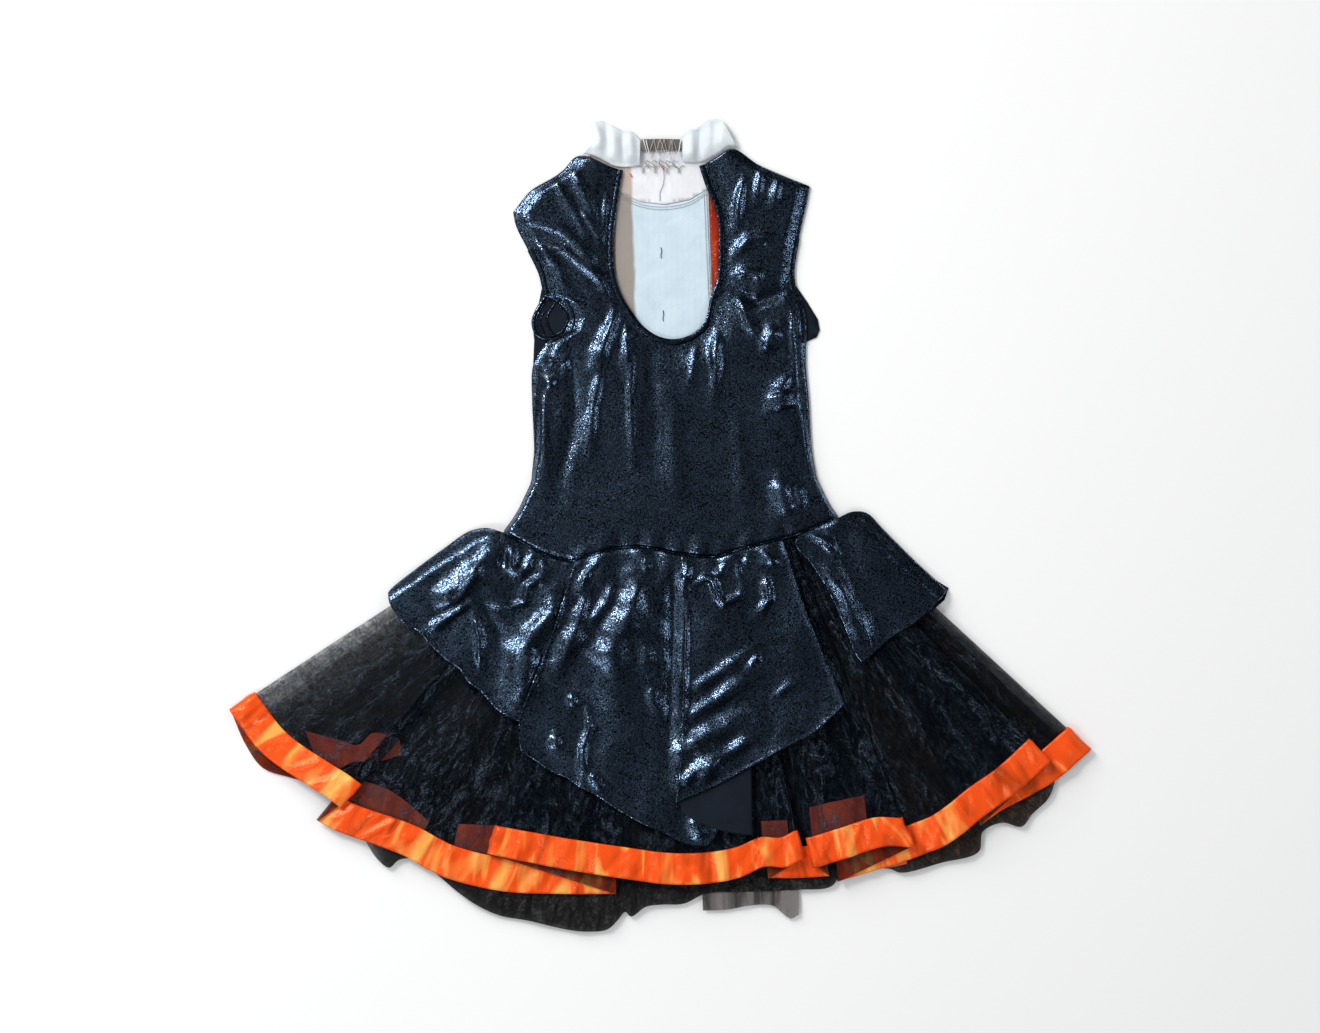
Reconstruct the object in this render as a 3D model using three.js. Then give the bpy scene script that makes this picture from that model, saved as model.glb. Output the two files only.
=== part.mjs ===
// A child's tutu dance costume, laid flat on its front with the back up.
// Millimetres, +Z up, +Y towards the neck. The surface it lies on is Z = 0.
import * as THREE from 'three';

const KNIT_WALL = 1.2; // thickness of the bodice knit
const FINE_WALL = 1.0; // thickness of the organza, ribbon, tulle, petals and trims
const SEAM_GAP = 0.3; // space left between neighbouring pieces

// Heights of the skirt's layers, centre of each cloth, from the floor up.
const FRONT_ORGANZA_Z = 1.8;
const FRONT_PETTICOAT_Z = 3.1;
const NET_Z = 4.4;
const BACK_PETTICOAT_Z = 5.7;
const BACK_ORGANZA_Z = 7.4;
const PLEAT_STEP_AT_WAIST = 1.6; // height from one pleat layer to the next
const PLEAT_STEP_AT_HEM = 4.6;
const RIBBON_OFFSET = 1.3; // from the organza's centre to the ribbon's centre
const PETAL_Z = 12.1;
const PETAL_RISE = 6.4; // how far the petals climb onto the thicker hem

const colours = {
  foilKnit: { color: 0x11151f, roughness: 0.35, metalness: 0.5 },
  organza: { color: 0x1d1a1c, roughness: 0.5, metalness: 0.1 },
  petticoat: { color: 0x17171b, roughness: 0.7, metalness: 0 },
  orangeSatin: { color: 0xe8590f, roughness: 0.35, metalness: 0 },
  whiteKnit: { color: 0xe9e9ec, roughness: 0.8, metalness: 0 },
  greyNet: { color: 0xa7a8ab, roughness: 0.8, metalness: 0 },
  taupeElastic: { color: 0x8a7d72, roughness: 0.6, metalness: 0 },
};

const costume = new THREE.Group();

function addPiece(name, geometry, colour) {
  geometry.computeVertexNormals();
  const mesh = new THREE.Mesh(geometry, new THREE.MeshStandardMaterial(colours[colour]));
  mesh.name = name;
  costume.add(mesh);
}

// ---------------------------------------------------------------- small tools

function smooth(value) {
  const t = Math.min(1, Math.max(0, value));
  return t * t * (3 - 2 * t);
}

function mix(from, to, t) {
  return from + (to - from) * t;
}

// The other coordinate of a polyline, at a given value of one coordinate.
function lookUp(line, value, known, wanted) {
  const rising = line[0][known] < line[line.length - 1][known];
  const points = rising ? line : [...line].reverse();
  if (value <= points[0][known]) {
    return points[0][wanted];
  }
  for (let i = 1; i < points.length; i += 1) {
    const [before, after] = [points[i - 1], points[i]];
    if (value <= after[known]) {
      const t = (value - before[known]) / (after[known] - before[known]);
      return mix(before[wanted], after[wanted], t);
    }
  }
  return points[points.length - 1][wanted];
}

function heightAt(line, x) {
  return lookUp(line, x, 0, 1);
}

function sideAt(line, y) {
  return lookUp(line, y, 1, 0);
}

function distanceToSegment(x, y, [x1, y1], [x2, y2]) {
  const [dx, dy] = [x2 - x1, y2 - y1];
  const t = Math.min(1, Math.max(0, ((x - x1) * dx + (y - y1) * dy) / (dx * dx + dy * dy)));
  return Math.hypot(x - x1 - t * dx, y - y1 - t * dy);
}

function distanceToLine(x, y, line) {
  const parts = line.slice(1).map((end, i) => distanceToSegment(x, y, line[i], end));
  return Math.min(...parts);
}

// Soft ridges in the cloth, each along a short line.
function ridges(table, x, y) {
  let height = 0;
  for (const fold of table) {
    const away = distanceToLine(x, y, fold.line) / fold.width;
    height = Math.max(height, fold.height * Math.exp(-away * away));
  }
  return height;
}

function curveThrough(line) {
  const points = line.map(([x, y]) => new THREE.Vector3(x, y, 0));
  return new THREE.CatmullRomCurve3(points, false, 'centripetal');
}

// The part of a line between two values of x, shifted up or down.
function clip(line, fromX, toX, shift) {
  const inside = line.filter(([x]) => x > fromX && x < toX).map(([x, y]) => [x, y + shift]);
  const start = [fromX, heightAt(line, fromX) + shift];
  const end = [toX, heightAt(line, toX) + shift];
  return [start, ...inside, end];
}

// ---------------------------------------------------- cloth walls from points

function normalsOf(points, quads) {
  const normals = points.map(() => new THREE.Vector3());
  for (const quad of quads) {
    const [a, b, c, d] = quad.map((index) => points[index]);
    const facing = c.clone().sub(a).cross(d.clone().sub(b));
    quad.forEach((index) => normals[index].add(facing));
  }
  normals.forEach((normal) => normal.normalize());
  return normals;
}

// A closed wall of even thickness on both sides of a net of four-sided faces.
// The offset moves the whole wall along the net's normals.
function wall(points, quads, thickness, offset = 0, normals = normalsOf(points, quads)) {
  const used = [...new Set(quads.flat())];
  const place = new Map(used.map((index, order) => [index, order]));
  const positions = [];
  for (const side of [offset + thickness / 2, offset - thickness / 2]) {
    for (const index of used) {
      const point = points[index].clone().addScaledVector(normals[index], side);
      positions.push(point.x, point.y, point.z);
    }
  }
  const under = used.length;
  const faces = [];
  const edges = new Map();
  for (const quad of quads) {
    const [a, b, c, d] = quad.map((index) => place.get(index));
    faces.push(a, b, c, a, c, d);
    faces.push(a + under, c + under, b + under, a + under, d + under, c + under);
    for (const [p, q] of [[a, b], [b, c], [c, d], [d, a]]) {
      if (!edges.delete(`${q} ${p}`)) {
        edges.set(`${p} ${q}`, [p, q]);
      }
    }
  }
  for (const [p, q] of edges.values()) {
    faces.push(q, p, p + under, q, p + under, q + under);
  }
  const geometry = new THREE.BufferGeometry();
  geometry.setAttribute('position', new THREE.Float32BufferAttribute(positions, 3));
  geometry.setIndex(faces);
  return geometry;
}

// The faces of a grid of points kept row after row, optionally closed into a tube.
function gridFaces(rows, columns, closed = false, first = 0) {
  const quads = [];
  const steps = closed ? columns : columns - 1;
  for (let row = 0; row < rows - 1; row += 1) {
    for (let column = 0; column < steps; column += 1) {
      const next = (column + 1) % columns;
      const top = first + row * columns;
      const bottom = top + columns;
      quads.push([top + column, bottom + column, bottom + next, top + next]);
    }
  }
  return quads;
}

// A patch of cloth between four edge lines. Top and bottom run the same way,
// and so do left and right, which start at the top.
function patchPoints(edges, columns, rowSteps, height) {
  const top = curveThrough(edges.top);
  const bottom = curveThrough(edges.bottom);
  const left = curveThrough(edges.left);
  const right = curveThrough(edges.right);
  const corner = (curve, t) => curve.getPointAt(t);
  const points = [];
  for (const v of rowSteps) {
    for (let column = 0; column <= columns; column += 1) {
      const u = column / columns;
      const point = new THREE.Vector3();
      point.addScaledVector(corner(top, u), 1 - v).addScaledVector(corner(bottom, u), v);
      point.addScaledVector(corner(left, v), 1 - u).addScaledVector(corner(right, v), u);
      point.addScaledVector(corner(top, 0), -(1 - u) * (1 - v));
      point.addScaledVector(corner(top, 1), -u * (1 - v));
      point.addScaledVector(corner(bottom, 0), -(1 - u) * v);
      point.addScaledVector(corner(bottom, 1), -u * v);
      point.z = height(point.x, point.y, u, v);
      points.push(point);
    }
  }
  return points;
}

function evenSteps(count) {
  return Array.from({ length: count + 1 }, (_, i) => i / count);
}

function patch(edges, columns, rows, height, thickness) {
  const points = patchPoints(edges, columns, evenSteps(rows), height);
  return wall(points, gridFaces(rows + 1, columns + 1), thickness);
}

// A flat piece lying on the floor.
function plate(outline) {
  const shape = new THREE.Shape(outline.map(([x, y]) => new THREE.Vector2(x, y)));
  return new THREE.ExtrudeGeometry(shape, { depth: FINE_WALL, bevelEnabled: false });
}

// ------------------------------------------------------- lines of the garment

// The drop-waist seam, left to right, sagging between its gathers.
const waistSeam = [
  [-157, -5], [-141, -14], [-116, -27], [-86, -34], [-56, -24], [-21, -20],
  [19, -27], [54, -30], [84, -21], [114, -14], [139, -7], [177, 9],
];

const bodiceSideLeft = [
  [-157, -5], [-144, 14], [-130, 44], [-127, 76], [-129, 126], [-128, 161], [-116, 183],
];
const bodiceSideRight = [
  [177, 9], [168, 23], [156, 48], [151, 76], [148, 126], [145, 161], [145, 183],
];
const armholeLeft = [
  [-116, 183], [-95, 196], [-91, 208], [-99, 223], [-115, 231],
  [-122, 253], [-133, 276], [-145, 300], [-148, 314],
];
const armholeRight = [
  [145, 183], [145, 206], [140, 226], [134, 241], [133, 256], [138, 288], [145, 319], [149, 340],
];
const shoulderLeft = [
  [-148, 314], [-131, 335], [-106, 350], [-97, 357], [-86, 369], [-75, 370.5], [-55, 362], [-43, 357],
];
const shoulderRight = [
  [43, 362], [57, 370], [68, 377], [75, 377], [97, 362], [124, 350], [149, 340],
];
const KEYHOLE_BOTTOM = [15, 182];
const keyholeLeft = [
  KEYHOLE_BOTTOM, [-21, 200], [-33, 212], [-44, 229], [-51, 251],
  [-53, 274], [-52, 298], [-49, 321], [-43, 357],
];
const keyholeRight = [
  KEYHOLE_BOTTOM, [34, 189], [48, 203], [54, 225], [61, 247],
  [63, 274], [62, 306], [57, 326], [50, 341], [43, 362],
];
const collarSeamFront = [
  [-78, 371], [-49, 338], [-21, 325], [4, 322], [29, 327], [51, 340], [75, 376],
];

// ------------------------------------------------ front, face down on the floor

const BIB_LEFT = -51;
const BIB_RIGHT = 52;
const LAPEL_WIDTH = 20;
const SEAM_SHIFT = 0.8; // keeps each flat piece off the seam line

function bottomEdge(fromX, toX) {
  return clip(waistSeam, fromX, toX, SEAM_SHIFT);
}

function neckEdge(fromX, toX) {
  return clip(collarSeamFront, fromX, toX, -SEAM_SHIFT).reverse();
}

function addStraightFrontPiece(name, fromX, toX, colour) {
  addPiece(name, plate([...bottomEdge(fromX, toX), ...neckEdge(fromX, toX)]), colour);
}

function addFront() {
  const leftPanelEdge = BIB_LEFT - LAPEL_WIDTH - SEAM_GAP;
  const rightPanelEdge = BIB_RIGHT + LAPEL_WIDTH + SEAM_GAP;
  const frontArmholeLeft = [[-127, 175], [-129, 205], [-123, 220], [-119, 240]];
  const frontArmholeRight = [
    [143, 172], [145, 184], [156, 189], [159, 196], [157, 207], [146, 225], [135, 241],
  ];
  addPiece('front_left', plate([
    ...bottomEdge(-157, leftPanelEdge),
    [leftPanelEdge, heightAt(collarSeamFront, leftPanelEdge) - SEAM_SHIFT],
    [-79, 369], ...shoulderLeft.slice(0, 5).reverse(),
    ...armholeLeft.slice(5, 8).reverse(), ...frontArmholeLeft.reverse(),
    ...bodiceSideLeft.slice(1, 6).reverse(),
  ]), 'foilKnit');
  addPiece('front_right', plate([
    ...bottomEdge(rightPanelEdge, 177), ...bodiceSideRight.slice(1, 6),
    ...frontArmholeRight, ...armholeRight.slice(4, 7),
    [149, 340], [124, 350], [97, 362], [77, 374],
    [rightPanelEdge, heightAt(collarSeamFront, rightPanelEdge) - SEAM_SHIFT],
  ]), 'foilKnit');
  addStraightFrontPiece('front_bib', BIB_LEFT, BIB_RIGHT, 'whiteKnit');
  addStraightFrontPiece('lapel_left', BIB_LEFT - LAPEL_WIDTH, BIB_LEFT - SEAM_GAP, 'orangeSatin');
  addStraightFrontPiece('lapel_right', BIB_RIGHT + SEAM_GAP, BIB_RIGHT + LAPEL_WIDTH, 'orangeSatin');
  addPiece('collar_front', plate([
    ...collarSeamFront, [63, 405], [36, 380], [0, 374], [-36, 380], [-68, 400],
  ]), 'whiteKnit');
}

// ------------------------------------------------------------- bodice back

const EDGE_Z = 2.1; // the back's centre height along the side seams
const STRAP_COLUMNS = 12;
const STRAP_ROWS = 12;

// The largest folds of the back.
const backFolds = [
  { line: [[-104, 346], [-55, 283]], height: 4, width: 9 },
  { line: [[-144, 304], [-104, 294]], height: 3, width: 8 },
  { line: [[-113, 278], [-59, 252]], height: 4, width: 9 },
  { line: [[-51, 218], [-69, 169], [-72, 110]], height: 4, width: 9 },
  { line: [[86, 359], [81, 328]], height: 3, width: 8 },
  { line: [[72, 270], [115, 274]], height: 3.5, width: 9 },
  { line: [[83, 254], [95, 241]], height: 3, width: 8 },
  { line: [[108, 194], [117, 169], [116, 120]], height: 3.5, width: 10 },
  { line: [[-28, 117], [-28, 28]], height: 3.5, width: 10 },
  { line: [[-119, 165], [-94, 154]], height: 3, width: 8 },
  { line: [[-117, 126], [-117, 56]], height: 3, width: 10 },
  { line: [[55, 186], [59, 147], [39, 56]], height: 3.5, width: 11 },
  { line: [[111, 39], [132, 7]], height: 4, width: 9 },
];

const backSideLeft = [...bodiceSideLeft, ...armholeLeft.slice(1), ...shoulderLeft.slice(1, 6)];
const backSideRight = [
  ...bodiceSideRight, ...armholeRight.slice(1), [124, 350], [97, 362], [75, 377],
];

// How far the middle of the back stands above its side edges, by height.
const backRise = [[-40, 8], [40, 6.4], [120, 5.6], [190, 5], [250, 3.4], [380, 3]];

function backHeight(x, y) {
  const inFromSide = Math.min(x - sideAt(backSideLeft, y), sideAt(backSideRight, y) - x);
  const aboveSeam = y - heightAt(waistSeam, x);
  const fromKeyhole = Math.min(distanceToLine(x, y, keyholeLeft), distanceToLine(x, y, keyholeRight));
  const sideFall = smooth(inFromSide / mix(18, 42, smooth(aboveSeam / 60)));
  const keyholeFall = mix(0.45, 1, smooth(fromKeyhole / 28));
  const fold = ridges(backFolds, x, y) * smooth(aboveSeam / 30) * smooth(inFromSide / 16);
  return EDGE_Z + heightAt(backRise, y) * sideFall * keyholeFall + fold * smooth(fromKeyhole / 12);
}

function addBack() {
  const level = [[-116, 183], KEYHOLE_BOTTOM, [145, 183]];
  const bodyColumns = 2 * STRAP_COLUMNS;
  const bodySteps = [0, 0.035, 0.1, 0.18, 0.26, 0.35, 0.44, 0.53, 0.62, 0.71, 0.8, 0.9, 1];
  const body = patchPoints({
    top: level,
    bottom: waistSeam,
    left: [...bodiceSideLeft].reverse(),
    right: [...bodiceSideRight].reverse(),
  }, bodyColumns, bodySteps, backHeight);
  const strapLeft = patchPoints({
    top: shoulderLeft,
    bottom: level.slice(0, 2),
    left: [...armholeLeft].reverse(),
    right: [...keyholeLeft].reverse(),
  }, STRAP_COLUMNS, evenSteps(STRAP_ROWS), backHeight);
  const strapRight = patchPoints({
    top: shoulderRight,
    bottom: level.slice(1),
    left: [...keyholeRight].reverse(),
    right: [...armholeRight].reverse(),
  }, STRAP_COLUMNS, evenSteps(STRAP_ROWS), backHeight);

  // The straps' last rows are the body's first row, so those points are shared.
  const wide = STRAP_COLUMNS + 1;
  const strapSize = STRAP_ROWS * wide;
  const points = [...body, ...strapLeft.slice(0, strapSize), ...strapRight.slice(0, strapSize)];
  const strapFaces = (first, levelColumn) => gridFaces(STRAP_ROWS + 1, wide).map((quad) => (
    quad.map((index) => (index < strapSize ? first + index : levelColumn + index - strapSize))
  ));
  const bodyFaces = gridFaces(bodySteps.length, bodyColumns + 1);
  const leftFaces = strapFaces(body.length, 0);
  const rightFaces = strapFaces(body.length + strapSize, STRAP_COLUMNS);
  const backFaces = [...bodyFaces, ...leftFaces, ...rightFaces];
  const normals = normalsOf(points, backFaces);
  addPiece('bodice_back', wall(points, backFaces, KNIT_WALL, 0, normals), 'foilKnit');

  // Trims lie on the back along its edges: the outermost column of faces.
  const column = (faces, which) => faces.filter((_, i) => i % STRAP_COLUMNS === which);
  const trimOffset = KNIT_WALL / 2 + SEAM_GAP + FINE_WALL / 2;
  const last = STRAP_COLUMNS - 1;
  const underKeyhole = bodyFaces.slice(last, last + 2);
  const keyholeFaces = [...column(leftFaces, last), ...column(rightFaces, 0), ...underKeyhole];
  const hemLeft = column(leftFaces, 0).slice(-6);
  const hemRight = column(rightFaces, last).slice(-7);
  const addTrim = (name, faces) => {
    addPiece(name, wall(points, faces, FINE_WALL, trimOffset, normals), 'foilKnit');
  };
  addTrim('keyhole_binding', keyholeFaces);
  addTrim('armhole_hem_left', hemLeft);
  addTrim('armhole_hem_right', hemRight);
}

// ------------------------------------------------------------- back collar

const COLLAR_Z = 3.9;
const COLLAR_CURL = 4.5; // how far the stand curls up off the front collar

const collarFolds = [
  { line: [[-64, 400], [-64, 368]], height: 2.5, width: 6 },
  { line: [[-50, 380], [-51, 360]], height: 2, width: 5 },
  { line: [[-35, 386], [-34, 362]], height: 2.5, width: 6 },
  { line: [[36, 396], [37, 362]], height: 2.5, width: 6 },
  { line: [[57, 402], [52, 372]], height: 2, width: 7 },
];

function collarHeight(x, y, u, v) {
  const curl = COLLAR_CURL * Math.sin(Math.PI * Math.min(1, 1.15 * (1 - v)));
  return COLLAR_Z + Math.max(0, curl) + ridges(collarFolds, x, y);
}

function addBackCollar() {
  addPiece('collar_back_left', patch({
    top: [[-70, 402], [-61, 406], [-45, 399], [-37, 395], [-30, 395], [-20.5, 386]],
    bottom: [[-78, 372.5], [-67, 370.5], [-55, 364.5], [-46, 360.5], [-34, 359.5], [-21, 361]],
    left: [[-70, 402], [-69, 394], [-70, 384], [-78, 372.5]],
    right: [[-20.5, 386], [-21, 361]],
  }, 9, 5, collarHeight, FINE_WALL), 'whiteKnit');
  addPiece('collar_back_right', patch({
    top: [[23, 392], [27, 396], [34, 397], [43, 403], [54, 407.5], [61, 406]],
    bottom: [[22, 364], [36, 364], [43, 365.5], [57, 373], [68, 380.5], [76, 379.5]],
    left: [[23, 392], [21.5, 378], [22, 364]],
    right: [[61, 406], [66, 399], [71, 389], [76, 379.5]],
  }, 9, 5, collarHeight, FINE_WALL), 'whiteKnit');
  const elasticHeight = (x) => 5 + 0.6 * Math.cos(x / 6);
  addPiece('neck_elastic', patch({
    top: [[-19.5, 387], [1, 387.5], [20.5, 387]],
    bottom: [[-19.5, 361], [1, 362], [20.5, 362]],
    left: [[-19.5, 387], [-19.5, 361]],
    right: [[20.5, 387], [20.5, 362]],
  }, 6, 3, elasticHeight, FINE_WALL), 'taupeElastic');
}

// --------------------------------------------------- skirt: pleated tube walls

// Skirt panels, going round the tube once: the back from left to right, its
// pleats folded over and under, then the front from right to left. Each run
// goes from one fold to the next. Hem columns: x, y, pleat level. The waist
// column holds the x where the run starts and ends on the waist seam.
const FRONT_LEVEL = -1;
const skirtRuns = [
  { waist: [-155, -105], steps: 6,
    hem: [[-430, -187, 0], [-399, -227, 0.4], [-355, -258, 1.2], [-334, -271, 2], [-322, -280, 2]] },
  { waist: [-105, -121], steps: 1, hem: [[-322, -280, 1], [-343, -295, 1]] },
  { waist: [-121, -21], steps: 9,
    hem: [[-343, -295, 0], [-261, -328, 0.4], [-220, -350, 0], [-161, -365, 0], [-101, -368, 0],
      [-46, -368, 0]] },
  { waist: [-21, -76], steps: 4, hem: [[-46, -368, 1], [-171, -328, 1]] },
  { waist: [-76, 74], steps: 10,
    hem: [[-171, -328, 2], [-101, -342, 2], [-32, -353, 2], [9, -358, 2], [47, -357, 2],
      [79, -351, 2], [104, -340, 2], [124, -341, 2], [139, -334, 2]] },
  { waist: [74, 59], steps: 1, hem: [[139, -334, 1], [109, -352, 1]] },
  { waist: [59, 96], steps: 3, hem: [[109, -352, 0], [140, -352, 0], [168, -350, 0]] },
  { waist: [96, 84], steps: 1, hem: [[168, -350, 1], [156, -341, 1]] },
  { waist: [84, 129], steps: 4, hem: [[156, -341, 2], [188, -331, 2], [224, -320, 2], [250, -321, 2]] },
  { waist: [129, 114], steps: 3, hem: [[250, -321, 1], [179, -355, 1]] },
  { waist: [114, 159], steps: 8,
    hem: [[179, -355, 0], [245, -335, 0], [266, -327, 0.1], [285, -319, 1], [303, -306, 2],
      [321, -291, 2], [357, -265, 2], [386, -238, 2]] },
  { waist: [159, 147], steps: 3, hem: [[386, -238, 1], [320, -299, 1]] },
  { waist: [147, 175], steps: 5,
    hem: [[320, -299, 0], [340, -285, 0], [372, -268, 0], [397, -253, 0], [428, -226, 0]] },
  { waist: [175, -155], steps: 22,
    hem: [[428, -226, -1], [384, -239, -1], [339, -269, -1], [289, -304, -1], [244, -334, -1],
      [204, -312, -1], [169, -304, -1], [129, -312, -1], [79, -342, -1], [39, -348, -1],
      [-61, -344, -1], [-161, -334, -1], [-189, -328, -1], [-241, -308, -1], [-286, -280, -1],
      [-321, -264, -1], [-371, -252, -1], [-399, -242, -1], [-416, -219, -1], [-430, -187, -1]] },
];

// The petticoat under it, in two runs, with the lobes that peek out of the hem.
const petticoatRuns = [
  { waist: [-149, 169], steps: 40,
    hem: [[-398, -188, 0], [-371, -236, 0], [-331, -264, 0], [-299, -310, 0], [-285, -332, 0],
      [-272, -342, 0], [-262, -334, 0], [-243, -334, 0], [-225, -348, 0], [-205, -365, 0],
      [-185, -379, 0], [-161, -390, 0], [-133, -395, 0], [-94, -404, 0], [-74, -406, 0],
      [-54, -404, 0], [-43, -394, 0], [-36, -386, 0], [-30, -391, 0], [-15, -381, 0], [0, -379, 0],
      [23, -378, 0], [45, -368, 0], [90, -366, 0], [137, -364, 0], [170, -361, 0], [182, -347, 0],
      [228, -343, 0], [240, -347, 0], [281, -337, 0], [318, -326, 0], [322, -306, 0],
      [342, -297, 0], [361, -301, 0], [371, -289, 0], [388, -272, 0], [395, -252, 0],
      [402, -215, 0]] },
  { waist: [169, -149], steps: 14,
    hem: [[402, -215, -1], [340, -245, -1], [240, -285, -1], [139, -290, -1], [-61, -315, -1],
      [-211, -290, -1], [-320, -240, -1], [-398, -188, -1]] },
];

const WAIST_DROP = 1.6; // the skirt starts this far below the seam line
const FOLD_STEPS = [Math.PI / 4, Math.PI / 2, (3 * Math.PI) / 4];

function pleatStep(v) {
  return mix(PLEAT_STEP_AT_WAIST, PLEAT_STEP_AT_HEM, smooth((v - 0.45) / 0.4));
}

function organzaHeight(level, v) {
  if (level < 0) {
    return mix(BACK_ORGANZA_Z, FRONT_ORGANZA_Z, -level);
  }
  return BACK_ORGANZA_Z + level * pleatStep(v);
}

function petticoatHeight(level) {
  return mix(BACK_PETTICOAT_Z, FRONT_PETTICOAT_Z, -level);
}

// One run's points at a distance v from the waist (0) to the hem (1).
function runPoints(run, v, height) {
  const curve = curveThrough(run.hem);
  const levels = run.hem.map(([x, , level]) => [x, level]);
  return evenSteps(run.steps).map((u) => {
    const hem = curve.getPointAt(u);
    const waistX = mix(run.waist[0], run.waist[1], u);
    const waistY = heightAt(waistSeam, waistX) - WAIST_DROP;
    const level = lookUp(levels, hem.x, 0, 1);
    return new THREE.Vector3(mix(waistX, hem.x, v), mix(waistY, hem.y, v), height(level, v));
  });
}

// The round of a fold, from the end of one run up or down to the next. It
// bulges square to the fold's own line, which runs down the skirt.
function foldPoints(run, next, down) {
  const end = run[run.length - 1];
  const away = end.clone().sub(run[run.length - 2]).setZ(0);
  away.addScaledVector(down, -away.dot(down)).normalize();
  const middle = (end.z + next[0].z) / 2;
  const radius = (end.z - next[0].z) / 2;
  return FOLD_STEPS.map((angle) => {
    const point = end.clone().addScaledVector(away, Math.abs(radius) * Math.sin(angle));
    return point.setZ(middle + radius * Math.cos(angle));
  });
}

// The points of a pleated tube, one closed line of points for each distance v.
function tubePoints(runs, stations, height) {
  const lastOf = (run, v) => runPoints(run, v, () => 0)[run.steps];
  const downs = runs.map((run) => lastOf(run, 1).sub(lastOf(run, 0)).normalize());
  const points = [];
  for (const v of stations) {
    const lines = runs.map((run) => runPoints(run, v, height));
    lines.forEach((line, i) => {
      points.push(...line, ...foldPoints(line, lines[(i + 1) % lines.length], downs[i]));
    });
  }
  return points;
}

function addSkirt() {
  const stations = [0, 0.14, 0.28, 0.42, 0.54, 0.66, 0.78, 0.905, 1];
  const points = tubePoints(skirtRuns, stations, organzaHeight);
  const columns = points.length / stations.length;
  const faces = gridFaces(stations.length, columns, true);
  const normals = normalsOf(points, faces);
  const hemFaces = faces.slice(-columns); // the ribbon covers the last band
  addPiece('organza_skirt', wall(points, faces, FINE_WALL, 0, normals), 'organza');
  addPiece('hem_ribbon', wall(points, hemFaces, FINE_WALL, RIBBON_OFFSET, normals), 'orangeSatin');
  const petticoatStations = [0, 0.2, 0.4, 0.6, 0.8, 0.93, 1];
  const petticoat = tubePoints(petticoatRuns, petticoatStations, petticoatHeight);
  const petticoatColumns = petticoat.length / petticoatStations.length;
  const petticoatFaces = gridFaces(petticoatStations.length, petticoatColumns, true);
  addPiece('petticoat', wall(petticoat, petticoatFaces, FINE_WALL), 'petticoat');
  addPiece('white_net', patch({
    top: [[36, -230], [100, -230]],
    bottom: [[42, -385], [67, -384], [88, -380], [112, -380], [121, -387], [130, -393], [138, -389]],
    left: [[36, -230], [42, -385]],
    right: [[100, -230], [137, -365], [138, -389]],
  }, 8, 5, () => NET_Z, FINE_WALL), 'greyNet');
}

// ------------------------------------------------------ handkerchief petals

const petalFolds = [
  { line: [[-230, -73], [-205, -63], [-176, -28]], height: 5, width: 9 },
  { line: [[-230, -107], [-189, -72]], height: 5, width: 8 },
  { line: [[-132, -55], [-132, -87], [-155, -127], [-158, -160]], height: 5, width: 11 },
  { line: [[-68, -75], [-88, -130]], height: 4, width: 12 },
  { line: [[-38, -65], [-64, -107], [-58, -156]], height: 6, width: 11 },
  { line: [[48, -58], [63, -78], [84, -60]], height: 4, width: 9 },
  { line: [[108, -73], [95, -89]], height: 4, width: 8 },
  { line: [[48, -214], [93, -185]], height: 4, width: 10 },
  { line: [[104, -212], [130, -192]], height: 4, width: 10 },
  { line: [[147, -8], [173, -27]], height: 4, width: 7 },
  { line: [[144, -36], [180, -76], [195, -127]], height: 5, width: 9 },
];

// How far a point is outside the two slanting sides of the skirt.
function outsideSkirt(x, y) {
  const left = -0.545 * (x + 155) + 0.838 * (y + 7);
  const right = 0.671 * (x - 177) + 0.741 * (y - 7);
  return Math.max(left, right);
}

function petalHeight(lift, lowerLift) {
  return (x, y) => {
    const drop = heightAt(waistSeam, x) - y;
    const rise = PETAL_RISE * smooth((drop - 140) / 130);
    const layer = mix(lift, lowerLift, smooth((drop - 150) / 60));
    const stack = PETAL_Z + rise + layer + ridges(petalFolds, x, y) * smooth(drop / 25);
    return mix(stack, 3 + layer, smooth((outsideSkirt(x, y) - 6) / 20));
  };
}

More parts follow.
